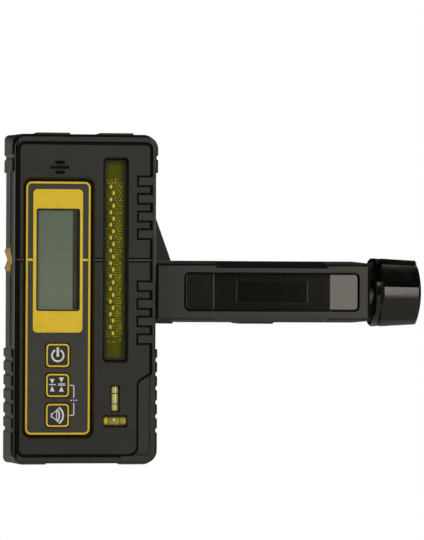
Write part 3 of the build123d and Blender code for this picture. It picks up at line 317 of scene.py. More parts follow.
# Pale grey ink on the keys and by them, slightly rubbed
greyInk = mouldedFinish("screen printed grey ink", {
    "dark": "#bfc3c9", "light": "#cbcfd5", "rubbed": "#a4a6a8",
    "mottleMm": 2.0, "edgeMm": 0.05, "rough": 0.5, "dust": 0.3})
# Matt black round the panel's edge: painted shade of the recess wall round it
edgeShadeBlack = mouldedFinish("matt black, painted recess shade", {
    "dark": "#030303", "light": "#060605", "rubbed": "#121210",
    "mottleMm": 5.0, "edgeMm": 0.05, "rough": 0.55, "ior": 1.45, "wear": 0.1, "dust": 0.08, "specular": 0.1})
# Gold pigmented insert, moulded satin
goldInsert = mouldedFinish("moulded gold-pigment acetal", {
    "dark": "#c2983a", "light": "#d6ac48", "rubbed": "#e2c06c",
    "mottleMm": 2.5, "relief": 0.3, "reliefMm": 0.04, "edgeMm": 0.2,
    "rough": 0.5, "ior": 1.45, "wear": 0.3, "dust": 0.2})
# Solder mask over laminate: green with the copper's paler runs below it
boardMask = mouldedFinish("green solder mask on laminate", {
    "dark": "#123a1e", "light": "#1d5a30", "rubbed": "#3f7d4c",
    "mottleMm": 1.6, "grainMm": 0.5, "reliefMm": 0.03,
    "rough": 0.4, "ior": 1.55, "wear": 0.3, "dust": 0.35})
# The sensor's board is masked in a dull olive that the amber filter turns darker still
sensorMask = mouldedFinish("olive solder mask on laminate", {
    "dark": "#4b4d0d", "light": "#565810", "rubbed": "#6b6914",
    "mottleMm": 3.0, "grainMm": 0.6, "reliefMm": 0.03,
    "rough": 0.5, "ior": 1.55, "dust": 0.15, "specular": 0.1,
    "lattice": {"cellMm": (1.3, 1.2), "lineMm": 0.5, "pads": ("#b8ad20", "#6e8024"), "lines": "#444b0d",
                "middleMm": 14.8, "reachMm": 36.6}})
# Resin bodies of the photodiodes: amber, glossy
diodeResin = mouldedFinish("cast amber resin", {
    "dark": "#5f5a0c", "light": "#716b10", "rubbed": "#8c8120",
    "mottleMm": 1.5, "relief": 0.1, "edgeMm": 0.15, "rough": 0.25, "ior": 1.55, "wear": 0.3})
# The lenses on them: bright yellow through the filter, a painted highlight for the glint on their clear domes
lensHighlightYellow = mouldedFinish("yellow lens resin, painted highlight", {
    "dark": "#ffe640", "light": "#fff260", "rubbed": "#fff8a0",
    "mottleMm": 0.9, "relief": 0.05, "rough": 0.2, "ior": 1.55, "wear": 0.1})
# Tinned pads beside them, seen dimly
paleSolder = mouldedFinish("flux coated solder", {
    "dark": "#9a8a2a", "light": "#b8a63a", "rubbed": "#cfc05a",
    "mottleMm": 0.8, "reliefMm": 0.03, "rough": 0.35, "ior": 1.55, "dust": 0.2})
# Dyed spirit in the vials: a bright yellow green, with painted highlight and shade for the tube's
# reflections:
# paler and darker lines along the upright vial
plumbLiquid = mouldedFinish("dyed vial spirit, upright", {
    "dark": "#a89c3e", "light": "#c0b552", "rubbed": "#e2dc92",
    "mottleMm": 3.0, "grainMm": 0.8, "relief": 0.05, "edgeMm": 0.3, "rough": 0.14, "ior": 1.45,
    "bands": {"axis": 0, "low": -51.3, "high": -48.1, "share": 0.85,
              "stops": [(0.0, "#988c56"), (0.26, "#beb784"), (0.42, "#888639"), (0.56, "#f2ecc2"),
                        (0.70, "#a69c42"), (0.84, "#a4991f"), (1.0, "#9d9228")]}})
# and painted yellow or brown patches of light and shade from end to end of the level one
levelLiquid = mouldedFinish("dyed vial spirit, level", {
    "dark": "#8f7f2a", "light": "#b3a33a", "rubbed": "#d8cc70",
    "mottleMm": 2.2, "grainMm": 0.8, "relief": 0.05, "edgeMm": 0.3, "rough": 0.14, "ior": 1.45,
    "bands": {"axis": 0, "low": -55.4, "high": -44.0, "share": 0.75,
              "stops": [(0.0, "#b59c20"), (0.13, "#d6c208"), (0.27, "#876f30"), (0.45, "#a09428"),
                        (0.62, "#bcae20"), (0.76, "#7d6c14"), (0.9, "#a8931c"), (1.0, "#b8a870")]}})
# The bubble: pale, with a dark ring of painted shade at its meniscus; the rings on the tube are as dark and
# share its colour
bubbleSkin = mouldedFinish("bubble in spirit", {
    "dark": "#b3a76e", "light": "#c2b77e", "rubbed": "#d6cd9a",
    "mottleMm": 1.2, "grainMm": 0.5, "relief": 0.05, "reliefMm": 0.01, "rough": 0.15, "ior": 1.36})
darkRingAndShade = mouldedFinish("black enamel ring, painted rim shade", {
    "dark": "#352c14", "light": "#42381c", "rubbed": "#5a4f30",
    "mottleMm": 1.2, "relief": 0.1, "reliefMm": 0.01, "edgeMm": 0.05, "rough": 0.4, "wear": 0.1})
# Liquid crystal cell at rest: an even grey green, a little darker towards the top, with a dark border strip
# at its right
lcdCell = mouldedFinish("liquid crystal cell, unlit", {
    "dark": "#677468", "light": "#6d7a6e", "rubbed": "#7a8472",
    "mottleMm": 5.0, "grainMm": 0.8, "relief": 0.08, "edgeMm": 0.05,
    "rough": 0.3, "uneven": 0.0, "ior": 1.45, "wear": 0.1, "dust": 0.0,
    "bands": {"axis": 2, "low": -8.0, "high": 38.0, "share": 0.85,
              "stops": [(0.0, "#6f7c71"), (0.45, "#6c796d"), (0.6, "#667367"), (1.0, "#657265")]}})
lcdBorder = mouldedFinish("dark cell border strip", {
    "dark": "#1c2218", "light": "#22281c", "rubbed": "#2c3226",
    "mottleMm": 8.0, "grainMm": 0.5, "relief": 0.1, "edgeMm": 0.05,
    "rough": 0.35, "ior": 1.52, "wear": 0.1})
# Shrink wrapped cells: glossy dark blue grey film over the can
cellJacket = mouldedFinish("shrink wrapped PVC film", {
    "dark": "#39404b", "light": "#464e5a", "rubbed": "#77808c",
    "mottleMm": 6.0, "grainMm": 0.8, "relief": 0.1, "reliefMm": 0.03, "edgeMm": 0.3,
    "rough": 0.25, "ior": 1.54, "wear": 0.4})

# Zinc plate is grey with a soft bloom, nickel is warmer and brighter, brass is turned and a little tarnished
zincSteel = metalFinish("zinc plated steel", {
    "dull": "#8f9194", "bright": "#c3c5c7", "rough": 0.34, "markMm": (1.5, 0.25, 0.25)})
nickelSpring = metalFinish("nickel plated spring steel", {
    "dull": "#a9a59c", "bright": "#d3cfc5", "rough": 0.26, "markMm": (0.3, 0.3, 1.4)})
turnedBrass = metalFinish("turned brass", {
    "dull": "#a5803f", "bright": "#d0aa62", "rough": 0.3, "markMm": (0.2, 0.9, 0.9)})

# Polished polycarbonate over the display, amber polycarbonate over the sensor, cast acrylic vials
clearWindow = clearFinish("polished clear polycarbonate", {
    "deep": "#2a2d29", "pale": "#343733", "rough": 0.08, "ior": 1.58, "alpha": 0.06, "wipe": 0.02})
amberFilter = clearFinish("amber tinted polycarbonate", {
    "deep": "#4f4e02", "pale": "#5a5805", "rough": 0.1, "ior": 1.52, "alpha": 0.09, "specular": 0.22})
vialAcrylic = clearFinish("cast clear acrylic", {
    "deep": "#c9c48e", "pale": "#dcd8ac", "rough": 0.06, "ior": 1.49, "alpha": 0.05})

# Which node gets which finish
nodeFinishes = [
    (casePlastic, ["front_housing", "rear_housing", "battery_door", "vial_retainer"]),
    (bumperRubber, ["bumper", "housing_seal"]),
    (armNylon, ["clamp_arm", "end_plug", "sliding_jaw"]),
    (knobPlastic, ["clamp_knob", "mount_knob"]),
    (keySilicone, ["button_power", "button_sensitivity", "button_sound"]),
    (overlayFilm, ["keypad_overlay"]),
    (padRubber, ["fixed_jaw_pad", "sliding_jaw_pad"]),
    (chipEpoxyAndShade, ["control_chip", "buzzer", "board_connector"]),
    (lightGuide, ["display_backlight"]),
    (goldInsert, ["grade_mark"]),
    (boardMask, ["main_board"]),
    (sensorMask, ["sensor_board"]),
    (diodeResin, ["photodiodes"]),
    (lcdCell, ["display_glass"]),
    (clearWindow, ["display_window"]),
    (amberFilter, ["sensor_window"]),
    (vialAcrylic, ["plumb_vial", "level_vial"]),
    (plumbLiquid, ["vial_fluid"]),
    (cellJacket, ["battery_cells"]),
    (nickelSpring, ["battery_contacts", "key_switches"]),
    (zincSteel, ["housing_screws", "board_screws", "door_hinge_pin", "mount_screw", "mount_washer",
                 "thrust_washers", "lead_screw"]),
    (turnedBrass, ["mount_insert", "jaw_nut", "screw_bushes"]),
]
for finish, names in nodeFinishes:
    for name in names:
        skin = nodes[name].data.materials
        skin.clear()
        skin.append(finish)
print("finishes on", sum(len(names) for finish, names in nodeFinishes), "nodes")


# shapes for new pieces, all in millimetres
# Rounded rectangle, anticlockwise from the front: four quarter circles stood on the inset corners
def roundedOutline(width, height, radius, steps=8):
    turn = (np.linspace(0, math.pi / 2, steps) + np.arange(4)[:, None] * math.pi / 2).ravel()
    across = np.repeat([1, -1, -1, 1], steps) * (width / 2 - radius) + radius * np.cos(turn)
    up = np.repeat([1, 1, -1, -1], steps) * (height / 2 - radius) + radius * np.sin(turn)
    return np.stack([across, up], axis=1)


# Plain bar with barely broken corners
def barOutline(width, height, radius=0.1):
    return roundedOutline(width, height, radius, 2)


# Band of a circle: out along the larger radius and back along the smaller one
def arcOutline(middle, stroke, start, stop, steps=24):
    turn = np.radians(np.linspace(start, stop, steps))
    rim = np.stack([np.cos(turn), np.sin(turn)], axis=1)
    return np.concatenate([(middle + stroke / 2) * rim, (middle - stroke / 2) * rim[::-1]])


# Outlines in x and z, one at each depth y, become rows of points
def standRows(outlines, depths, centre):
    flat = np.stack(outlines) + np.asarray(centre)
    deep = np.broadcast_to(np.asarray(depths)[:, None], flat.shape[:2])
    return np.stack([flat[..., 0], deep, flat[..., 1]], axis=-1)


# A plate of one outline between a back and a front depth
def plateRows(outline, centre, back, front):
    outline = np.asarray(outline, float)
    return standRows([outline, outline], [back, front], centre)


# A frame: the outer outline back to front, then the inner one front to back, closed on itself
def frameRows(outer, inner, centre, back, front):
    return standRows([outer, outer, inner, inner], [back, front, front, back], centre)


# Skin over rows of points: columns close round, and the rows close too, or the end rows are filled flat
def skinRows(name, grids, ring):
    points, faces, first = [], [], 0
    for rows in grids:
        count, around = rows.shape[:2]
        index = first + np.arange(count * around).reshape(count, around)
        beside = np.roll(index, -1, axis=1)
        quads = np.stack([index, beside, np.roll(beside, -1, axis=0), np.roll(index, -1, axis=0)], axis=-1)
        faces += (quads if ring else quads[:-1]).reshape(-1, 4).tolist()
        if not ring:
            faces += [index[0, ::-1].tolist(), index[-1].tolist()]
        points.append(rows.reshape(-1, 3))
        first += count * around
    mesh = bpy.data.meshes.new(name)
    mesh.from_pydata((np.concatenate(points) * mm).tolist(), [], faces)
    mesh.update()
    return mesh


# A finished piece: skinned, smooth up to its sharp edges, with its finish and body.
# Given a list of finishes, each of the equal grids takes the next one.
def makePiece(name, grids, finish, body="receiver", ring=False, stands=()):
    mesh = skinRows(name, grids, ring)
    mesh.shade_smooth()
    mesh.set_sharp_from_angle(angle=math.radians(32))
    coats = finish if isinstance(finish, list) else [finish]
    for coat in coats:
        mesh.materials.append(coat)
    shares = np.repeat(np.arange(len(coats)), len(mesh.polygons) // len(coats))
    mesh.polygons.foreach_set("material_index", shares)
    piece = bpy.data.objects.new(name, mesh)
    scene.collection.objects.link(piece)
    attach(piece, body)
    if stands:
        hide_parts(*stands)


# Middle and depth of a node's front face, in millimetres
def frontOf(node):
    low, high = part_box(node)
    return ((low.x + high.x) / 2 / mm, (low.z + high.z) / 2 / mm), low.y / mm


# Low and high corner of a node's box, in millimetres
def cornersOf(node):
    return [np.array(corner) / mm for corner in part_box(node)]


# printed panel: a yellow outline, a yellow surround tied to it on both sides, and a black edge of painted
# shade
panelPrint = {"size": (30.3, 118.2), "radius": 2.7, "line": 0.9, "proud": 0.02, "sunk": 0.01,
              "edge": (31.3, 119.3, 3.1), "edgeLap": 0.05, "surround": (23.3, 66.95), "surroundRadius": 2.0,
              "surroundShift": (-0.1, -0.5), "windowGap": 0.3, "windowRadius": 1.1, "tie": (3.0, 1.0)}
panelMiddle, panelFront = frontOf("keypad_overlay")
windowMiddle = frontOf("display_window")[0]
windowLow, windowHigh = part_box("display_window")
windowSize = np.array(windowHigh - windowLow)[[0, 2]] / mm
panelSize, panelRadius, panelLine, edgeLap = (
    np.array(panelPrint["size"]), panelPrint["radius"], panelPrint["line"], panelPrint["edgeLap"])
printBack, printFront = panelFront + panelPrint["sunk"], panelFront - panelPrint["proud"]
outlineRing = frameRows(
    roundedOutline(*panelSize, panelRadius),
    roundedOutline(*(panelSize - 2 * panelLine), panelRadius - panelLine), panelMiddle, printBack, printFront)
surroundRing = frameRows(
    roundedOutline(*panelPrint["surround"], panelPrint["surroundRadius"]) + panelPrint["surroundShift"],
    roundedOutline(*(windowSize + panelPrint["windowGap"]), panelPrint["windowRadius"]),
    windowMiddle, printBack, printFront)
makePiece("panel_print", [outlineRing, surroundRing], yellowInk, ring=True)
edgeRing = frameRows(
    roundedOutline(*panelPrint["edge"]), roundedOutline(*(panelSize - 2 * edgeLap), panelRadius - edgeLap),
    panelMiddle, printBack, (printBack + printFront) / 2)
makePiece("panel_edge_shade", [edgeRing], edgeShadeBlack, ring=True)
tieSpan = (panelSize[0] / 2 - panelLine + panelPrint["surround"][0] / 2) / 2
tieBar = barOutline(*panelPrint["tie"])
ties = [plateRows(tieBar, (panelMiddle[0] + side * tieSpan, windowMiddle[1]), printBack, printFront)
        for side in (-1, 1)]
makePiece("panel_ties", ties, yellowInk)

# The line that joins the two lower keys, parted by three dots
keyLink = {"line": 0.46, "right": 7.65, "reach": 1.9, "gap": 2.4, "dot": 0.62, "dotPitch": 1.25,
           "corner": 0.08}
linkLine, linkReach, linkGap, linkDot = (keyLink[key] for key in ("line", "reach", "gap", "dot"))
lowKey, midKey = frontOf("button_sound")[0], frontOf("button_sensitivity")[0]
linkX = midKey[0] + keyLink["right"]
linkMiddle = (midKey[1] + lowKey[1]) / 2
linkRun = (midKey[1] - lowKey[1] + linkLine - linkGap) / 2
linkBars = [*((linkReach, linkLine, linkX - linkReach / 2, key[1]) for key in (midKey, lowKey)),
            *((linkLine, linkRun, linkX, linkMiddle + side * (linkGap + linkRun) / 2) for side in (-1, 1)),
            *((linkDot, linkDot, linkX + step * keyLink["dotPitch"], linkMiddle) for step in (-1, 0, 1))]
links = [plateRows(barOutline(wide, tall, keyLink["corner"]), (x, z), printBack, printFront)
         for wide, tall, x, z in linkBars]
makePiece("key_link_print", links, greyInk)

# The dark border at the right of the cell
cellBorder = {"left": -69.5, "right": -66.6, "short": 1.6, "radius": 0.3, "proud": 0.03, "sunk": 0.02}
cellMiddle, cellFront = frontOf("display_glass")
left, right = cellBorder["left"], cellBorder["right"]
border = plateRows(roundedOutline(right - left, windowSize[1] - cellBorder["short"], cellBorder["radius"]),
                   ((left + right) / 2, cellMiddle[1]),
                   cellFront + cellBorder["sunk"], cellFront - cellBorder["proud"])
makePiece("cell_border", [border], lcdBorder)
print("panel printed")

# Painted shade: a matt black strip lies in the groove all round the plate, widest at the left where the
# rubber falls away, and in the gaps round the rubber's fingers and corner; thin strips of it lie in the
# channels beside the grade line
grooveShade = {"width": 2.2, "groove": 1.1, "grooveDepth": 1.4, "radius": 3.3, "crown": 0.3, "sunk": 0.05,
              "cornerShare": 0.45, "endGap": 1.7, "parting": 0.5}
gapShade = {"width": 0.85, "back": 1.55, "front": 0.75, "turn": 0.45, "fingerRun": (0.5, -5.725),
           "fingerHalf": 2.275, "fingers": [12.2 + 8.25 * step for step in range(4)],
           "corner": [(0.0, 38.675), (-0.675, 38.675), (-6.575, 35.075), (-6.575, 0.675), (-12.0, 0.675)],
           "cornerTurns": (2.0, 3.2, 4.0)}
gradeShade = {"offset": 0.675, "width": 0.6, "back": 0.62, "front": 0.5,
               "runs": [(1.1, 2.15), (36.4, 39.95), (52.3, 62.1)]}
shellLow, shellHigh = cornersOf("front_housing")
shellMiddle = (shellLow + shellHigh)[[0, 2]] / 2
shellSize = (shellHigh - shellLow)[[0, 2]]
grooveFloor = shellLow[1] + grooveShade["grooveDepth"]
shadeBack = grooveFloor + grooveShade["sunk"]


# Its section is a low half ellipse: the outline draws in by half the width times 1 - cos(v),
# and the crown rises as sin(v), v from the floor nearly to the top
def grooveShadeRows(low, high):
    width, rise = grooveShade["width"], np.linspace(0, 1.4, 5)
    outlines = [roundedOutline(wide, high - low - width + wide, grooveShade["cornerShare"] * wide)
                for wide in width * np.cos(rise)]
    depths = grooveFloor - grooveShade["crown"] * np.sin(rise)
    return standRows(outlines[:1] + outlines, [shadeBack, *depths], (shellLow[0], (low + high) / 2))


# A path whose corners are arcs: each arc's centre lies on the corner's bisector,
# at radius / sin(half the angle)
def turnedPath(points, radii, steps=7):
    points = np.asarray(points, float)
    path = [points[:1]]
    for before, corner, after, radius in zip(points, points[1:], points[2:], radii):
        arms = np.stack([before - corner, after - corner])
        arms /= np.linalg.norm(arms, axis=1)[:, None]
        half = math.acos(arms[0] @ arms[1]) / 2
        bisector = arms.sum(axis=0) / np.linalg.norm(arms.sum(axis=0))
        centre = corner + bisector * radius / math.sin(half)
        start, stop = corner + arms * radius / math.tan(half) - centre
        first = math.atan2(start[1], start[0])
        swing = math.atan2(start[0] * stop[1] - start[1] * stop[0], start @ stop)
        turn = first + swing * np.linspace(0, 1, steps)
        path.append(centre + radius * np.stack([np.cos(turn), np.sin(turn)], axis=1))
    return np.concatenate(path + [points[-1:]])


# A strip along a path: out along its right side, half a width away, and back along its left
def stripOutline(path, width):
    along = np.gradient(path, axis=0)
    along /= np.linalg.norm(along, axis=1)[:, None]
    left = width / 2 * np.stack([-along[:, 1], along[:, 0]], axis=1)
    return np.concatenate([path - left, (path + left)[::-1]])


grooveRing = frameRows(
    roundedOutline(*shellSize, grooveShade["radius"]),
    roundedOutline(*(shellSize - 2 * grooveShade["groove"]), grooveShade["radius"] - grooveShade["groove"]),
    shellMiddle, shadeBack, grooveFloor - grooveShade["crown"])
makePiece("groove_shade_ring", [grooveRing], shadeFoam, ring=True)
endGap, parting = grooveShade["endGap"], grooveShade["parting"]
grooveShades = [grooveShadeRows(shellLow[2] + endGap, windowMiddle[1] - parting),
         grooveShadeRows(windowMiddle[1] + parting, shellHigh[2] - endGap)]
makePiece("groove_shade", grooveShades, shadeFoam)
plateRight = shellHigh[0] - grooveShade["groove"]
gapBack, gapFront = shellLow[1] + gapShade["back"], shellLow[1] + gapShade["front"]
(mouth, end), half = gapShade["fingerRun"], gapShade["fingerHalf"]
fingerPath = turnedPath([(mouth, half), (end, half), (end, -half), (mouth, -half)], [gapShade["turn"]] * 2)
cornerPath = turnedPath(np.array(gapShade["corner"]) + (shellHigh[0], shellLow[2]), gapShade["cornerTurns"])
fingerGap, cornerGap = (stripOutline(way, gapShade["width"]) for way in (fingerPath, cornerPath))
gapShades = [plateRows(fingerGap, (plateRight, windowMiddle[1] + side * step), gapBack, gapFront)
        for side in (-1, 1) for step in gapShade["fingers"]]
gapShades.append(plateRows(cornerGap, (0.0, 0.0), gapBack, gapFront))
makePiece("gap_shades", gapShades, shadeFoam)
gradeShades = [plateRows(barOutline(stop - start, gradeShade["width"]),
                    (shellLow[0] + (start + stop) / 2, windowMiddle[1] + side * gradeShade["offset"]),
                    shellLow[1] + gradeShade["back"], shellLow[1] + gradeShade["front"])
          for start, stop in gradeShade["runs"] for side in (-1, 1)]
makePiece("grade_channel_shades", gradeShades, shadeFoam)

# The case's left wall draws in towards the front from a step on
caseWall = {"x": -98.5, "stepY": -44.0, "taper": 0.2}


# A strip laid on that wall: at each depth a rectangle from its sunk side to its proud one, from low to high
def wallRows(strip, depths, low, high, centre=0.0):
    wall = caseWall["x"] + caseWall["taper"] * np.maximum(caseWall["stepY"] - depths, 0.0)
    left, right = wall - strip["proud"], wall + strip["sunk"]
    sides = np.stack([left, right, right, left], axis=1)
    heights = np.stack([low, low, high, high], axis=1)
    return standRows(np.stack([sides, heights], axis=-1), depths, (0.0, centre))


# The gold mark runs on to a blunt point on the front of the wall
markPoint = {"proud": 0.03, "sunk": 0.3,
             "stations": [(-42.95, 3.6), (-44.0, 2.9), (-45.6, 1.9), (-46.6, 0.7)]}
markDepth, markHalf = np.array(markPoint["stations"]).T
makePiece("grade_mark_point", [wallRows(markPoint, markDepth, -markHalf, markHalf, windowMiddle[1])],
          goldInsert)

# Painted shade: a dark strip follows the edge where the wall turns in, above and below the mark
wallShade = {"depths": (-42.5, -44.0, -44.9), "proud": 0.03, "sunk": 0.2, "runs": [(21.8, 55.5), (-25.5, 7.8)]}
wallShadeDepth = np.array(wallShade["depths"])
level = np.ones(len(wallShadeDepth))
wallShades = [wallRows(wallShade, wallShadeDepth, low * level, high * level) for low, high in wallShade["runs"]]
makePiece("wall_shade", wallShades, shadeFoam)
print("groove filled")

# keys: a yellow outline inside each key's edge, and a grey sign
keyPrint = {"size": 10.75, "radius": 1.75, "line": 0.68, "cornerShare": 0.8, "proud": 0.02, "sunk": 0.01,
            "ring": 2.72, "ringLine": 0.82, "gap": 27.0, "bar": (1.15, 4.4), "barRise": 1.6}
keySize, keyRadius, keyLine = keyPrint["size"], keyPrint["radius"], keyPrint["line"]
keyOuter = roundedOutline(keySize, keySize, keyRadius)
keyHole = keySize - 2 * keyLine
keyInner = roundedOutline(keyHole, keyHole, keyRadius - keyLine * keyPrint["cornerShare"])
# An open ring with a bar in its gap
keyGap = keyPrint["gap"]
powerSign = [arcOutline(keyPrint["ring"], keyPrint["ringLine"], 90 + keyGap, 450 - keyGap, 40),
             barOutline(*keyPrint["bar"]) + (0.0, keyPrint["barRise"])]
# Beams between arrow heads, a single one and a double one
sensitivitySign = [((-3.64, 3.03), (-2.58, 0.7), (-1.42, 3.03)),
                   barOutline(3.23, 0.45) + (-2.44, 0.36),
                   ((-3.6, -2.81), (-1.45, -2.81), (-2.58, -0.2)),
                   ((0.6, 3.7), (1.73, 1.35), (2.92, 3.7)),
                   *(barOutline(3.45, 0.4) + (1.87, 0.4 + side * 0.32) for side in (1, -1)),
                   ((0.64, -2.89), (2.96, -2.89), (1.74, -0.5))]
# A hollow horn with a bar across it, and two sound waves
soundSign = [((-2.52, 0.62), (-2.52, -0.62), (-2.22, -0.62), (-2.22, 0.62)),
             arcOutline(4.85, 0.72, -38, 38) + (-4.0, 0.0),
             arcOutline(4.42, 0.85, -57, 57) + (-1.8, -0.05)]
horn = ((-3.2, 1.0), (-3.2, -1.0), (-2.4, -1.0), (-0.2, -2.75), (-0.2, 2.75), (-2.4, 1.0))
hornHole = ((-2.82, 0.62), (-2.82, -0.62), (-2.25, -0.62), (-0.65, -1.86), (-0.65, 1.86), (-2.25, 0.62))
for key, sign in (("power", powerSign), ("sensitivity", sensitivitySign), ("sound", soundSign)):
    node, body = "button_" + key, key + "_key"
    middle, face = frontOf(node)
    depths = face + keyPrint["sunk"], face - keyPrint["proud"]
    outline = frameRows(keyOuter, keyInner, middle, *depths)
    makePiece(node + "_outline", [outline], yellowInk, body, ring=True)
    signs = [plateRows(part, middle, *depths) for part in sign]
    makePiece(node + "_sign", signs, greyInk, body)
# The horn is a frame on the last of them
hornFrame = frameRows(horn, hornHole, middle, *depths)
makePiece("button_sound_horn", [hornFrame], greyInk, "sound_key", ring=True)
print("keys printed")

# sensor: a half-round lens on each photodiode, painted bright as highlight, a dark square beside it as
# painted shade, and small solder domes on the board
lensArray = {"size": (0.95, 1.0), "height": 0.5, "cut": -0.3, "count": 24, "pitch": 2.99, "shift": -1.14,
             "stagger": 0.38, "sunk": 0.1, "shadeSize": 0.75, "shadePlace": (0.52, -0.95), "shadeProud": 0.12}
# A few spots of solder at each end and a column of them down the right side
boardSolder = {"size": (0.5, 0.5), "height": 0.3,
               "spots": [(-3.4, 37.6), (-1.4, 37.6), (0.6, 37.6), (-2.4, -38.4), (-0.1, -38.4), (-3.5, 34.2),
                         *((3.1, 34.1 - step * 5.95) for step in range(13))]}


# Dome towards the front: radius r cos(v), depth h sin(v), v from the rim nearly to the pole.
# Its outline is an ellipse, cut straight on one side at a share of its width.
def domeRows(size, height, centre, base, side=1.0, cut=-1.0, around=24, up=6):
    rise = np.linspace(0, 1.5, up)
    turn = np.linspace(0, 2 * math.pi, around, endpoint=False)
    across, tall = side * size[0] * np.maximum(np.cos(turn), cut), size[1] * np.sin(side * turn)
    outlines = np.cos(rise)[:, None, None] * np.stack([across, tall], axis=1)
    depths = base - height * np.sin(rise)
    return standRows(list(outlines[:1]) + list(outlines), [base + lensArray["sunk"], *depths], centre)


sensorMiddle = frontOf("sensor_window")[0]
diodeFront = frontOf("photodiodes")[1]
boardFront = frontOf("sensor_board")[1]
steps = np.arange(lensArray["count"])
lensSide = (-1.0) ** steps
lensX = sensorMiddle[0] + lensArray["shift"] + lensArray["stagger"] * lensSide
lensZ = sensorMiddle[1] + (steps - (lensArray["count"] - 1) / 2) * lensArray["pitch"]
lensPlaces = list(zip(lensX, lensZ, lensSide))
lenses = [domeRows(lensArray["size"], lensArray["height"], (x, z), diodeFront, side, lensArray["cut"])
          for x, z, side in lensPlaces]
makePiece("diode_lenses", lenses, lensHighlightYellow)
shadeX, shadeZ = lensArray["shadePlace"]
lensShades = [plateRows(barOutline(lensArray["shadeSize"], lensArray["shadeSize"]), (x - side * shadeX, z + shadeZ),
                   diodeFront + lensArray["sunk"], diodeFront - lensArray["shadeProud"])
         for x, z, side in lensPlaces]
makePiece("diode_lens_shades", lensShades, chipEpoxyAndShade)
domes = [domeRows(boardSolder["size"], boardSolder["height"], (sensorMiddle[0] + x, sensorMiddle[1] + z),
                  boardFront, around=14, up=5) for x, z in boardSolder["spots"]]
makePiece("board_solder", domes, paleSolder)
print("sensor dressed")

# vials: the spirit, two dark rings round each tube, and the bubble
vialWorks = {"wall": 0.7, "clear": 0.04, "endClear": 0.1, "endRound": 0.6,
             "rings": {"plumb_vial": (-47.63, -52.54), "level_vial": (-52.63, -47.54)},
             "ringWidth": 0.6, "ringProud": 0.03, "ringSunk": 0.1}
bubble = {"x": -50.0, "halfLength": 1.3, "halfWidth": 1.1, "rise": 20.0, "proud": 0.025,
          "meniscus": (0.26, 0.036)}


# Round bar along x or z: rows of circles of the given radii at the given places along it
def barRows(radii, places, axis, middle, around=32):
    turn = np.linspace(0, 2 * math.pi, around, endpoint=False)
    ring = np.asarray(radii)[:, None] * np.ones(around)
    along = np.asarray(places)[:, None] * np.ones(around)
    if axis == "x":
        return np.stack([along, middle[1] + ring * np.cos(turn), middle[2] + ring * np.sin(turn)], axis=-1)
    return np.stack([middle[0] + ring * np.cos(turn), middle[1] + ring * np.sin(turn), along], axis=-1)


liquidGrids, ringGrids = [], []
for node, axis, side in (("plumb_vial", "z", 2), ("level_vial", "x", 0)):
    low, high = cornersOf(node)
    middle = (low + high) / 2
    bore = (high[1] - low[1]) / 2 - vialWorks["wall"] - vialWorks["clear"]
    start = low[side] + vialWorks["wall"] + vialWorks["endClear"]
    stop = high[side] - vialWorks["wall"] - vialWorks["endClear"]
    curve = np.linspace(0, math.pi / 2, 5)
    nose = bore - vialWorks["endRound"] * (1 - np.sin(curve))
    run = vialWorks["endRound"] * (1 - np.cos(curve))
    radii, places = np.concatenate([nose, nose[::-1]]), np.concatenate([start + run, stop - run[::-1]])
    liquidGrids.append(barRows(radii, places, axis, middle))
    inner, outer = bore - vialWorks["ringSunk"], bore + vialWorks["ringProud"]
    half = vialWorks["ringWidth"] / 2
    for mark in vialWorks["rings"][node]:
        places = [mark - half, mark - half, mark + half, mark + half]
        ringGrids.append(barRows([inner, outer, outer, inner], places, axis, middle))
levelMiddle, levelBore = middle, bore
makePiece("vial_spirit", liquidGrids, [plumbLiquid, levelLiquid], stands=("vial_fluid",))
makePiece("vial_rings", ringGrids, darkRingAndShade, ring=True)


# Lens wrapped on the tube: an ellipse in x and round the tube, scaled by reach, its skin out by swell
def wrappedRows(reach, swell, around=36):
    turn = np.linspace(0, 2 * math.pi, around, endpoint=False)
    reach, swell = reach[:, None], swell[:, None]
    along = bubble["x"] + bubble["halfLength"] * reach * np.cos(turn)
    angle = math.radians(bubble["rise"]) + bubble["halfWidth"] / levelBore * reach * np.sin(turn)
    radius = levelBore + swell * np.ones(around)
    deep, tall = levelMiddle[1] - radius * np.cos(angle), levelMiddle[2] + radius * np.sin(angle)
    return np.stack([along, deep, tall], axis=-1)


# The bubble's reach goes as cos(v) and its swell as sin(v); the meniscus is a small dark ring of painted
# shade round its rim
sweep = np.linspace(-1.5, 1.5, 9)
bubbleRows = wrappedRows(np.cos(sweep), bubble["proud"] * np.sin(sweep))
makePiece("vial_bubble", [bubbleRows], bubbleSkin)
sweep = np.linspace(0, 2 * math.pi, 8, endpoint=False)
wide, tall = bubble["meniscus"]
rimRows = wrappedRows(1.0 - wide * np.cos(sweep), tall * np.sin(sweep))
makePiece("bubble_meniscus_shade", [rimRows], darkRingAndShade, ring=True)
print("vials filled")

# lead screw: a four millimetre trapezoidal thread between two plain journals
leadScrew = {"pitch": 4.0, "depth": 1.1, "axisY": -10.0, "thread": (3.6, 72.8), "fade": 2.0, "clear": 0.02,
             "slope": 5.0, "crest": 0.9, "journal": 2.98, "shoulder": 0.2, "rowsPerTurn": 20, "around": 40}
low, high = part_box("lead_screw")
radius = (high.z - low.z) / 2 / mm
start, stop = leadScrew["thread"]
along = np.linspace(start, stop, int((stop - start) / leadScrew["pitch"] * leadScrew["rowsPerTurn"]))
turn = np.linspace(0, 2 * math.pi, leadScrew["around"], endpoint=False)
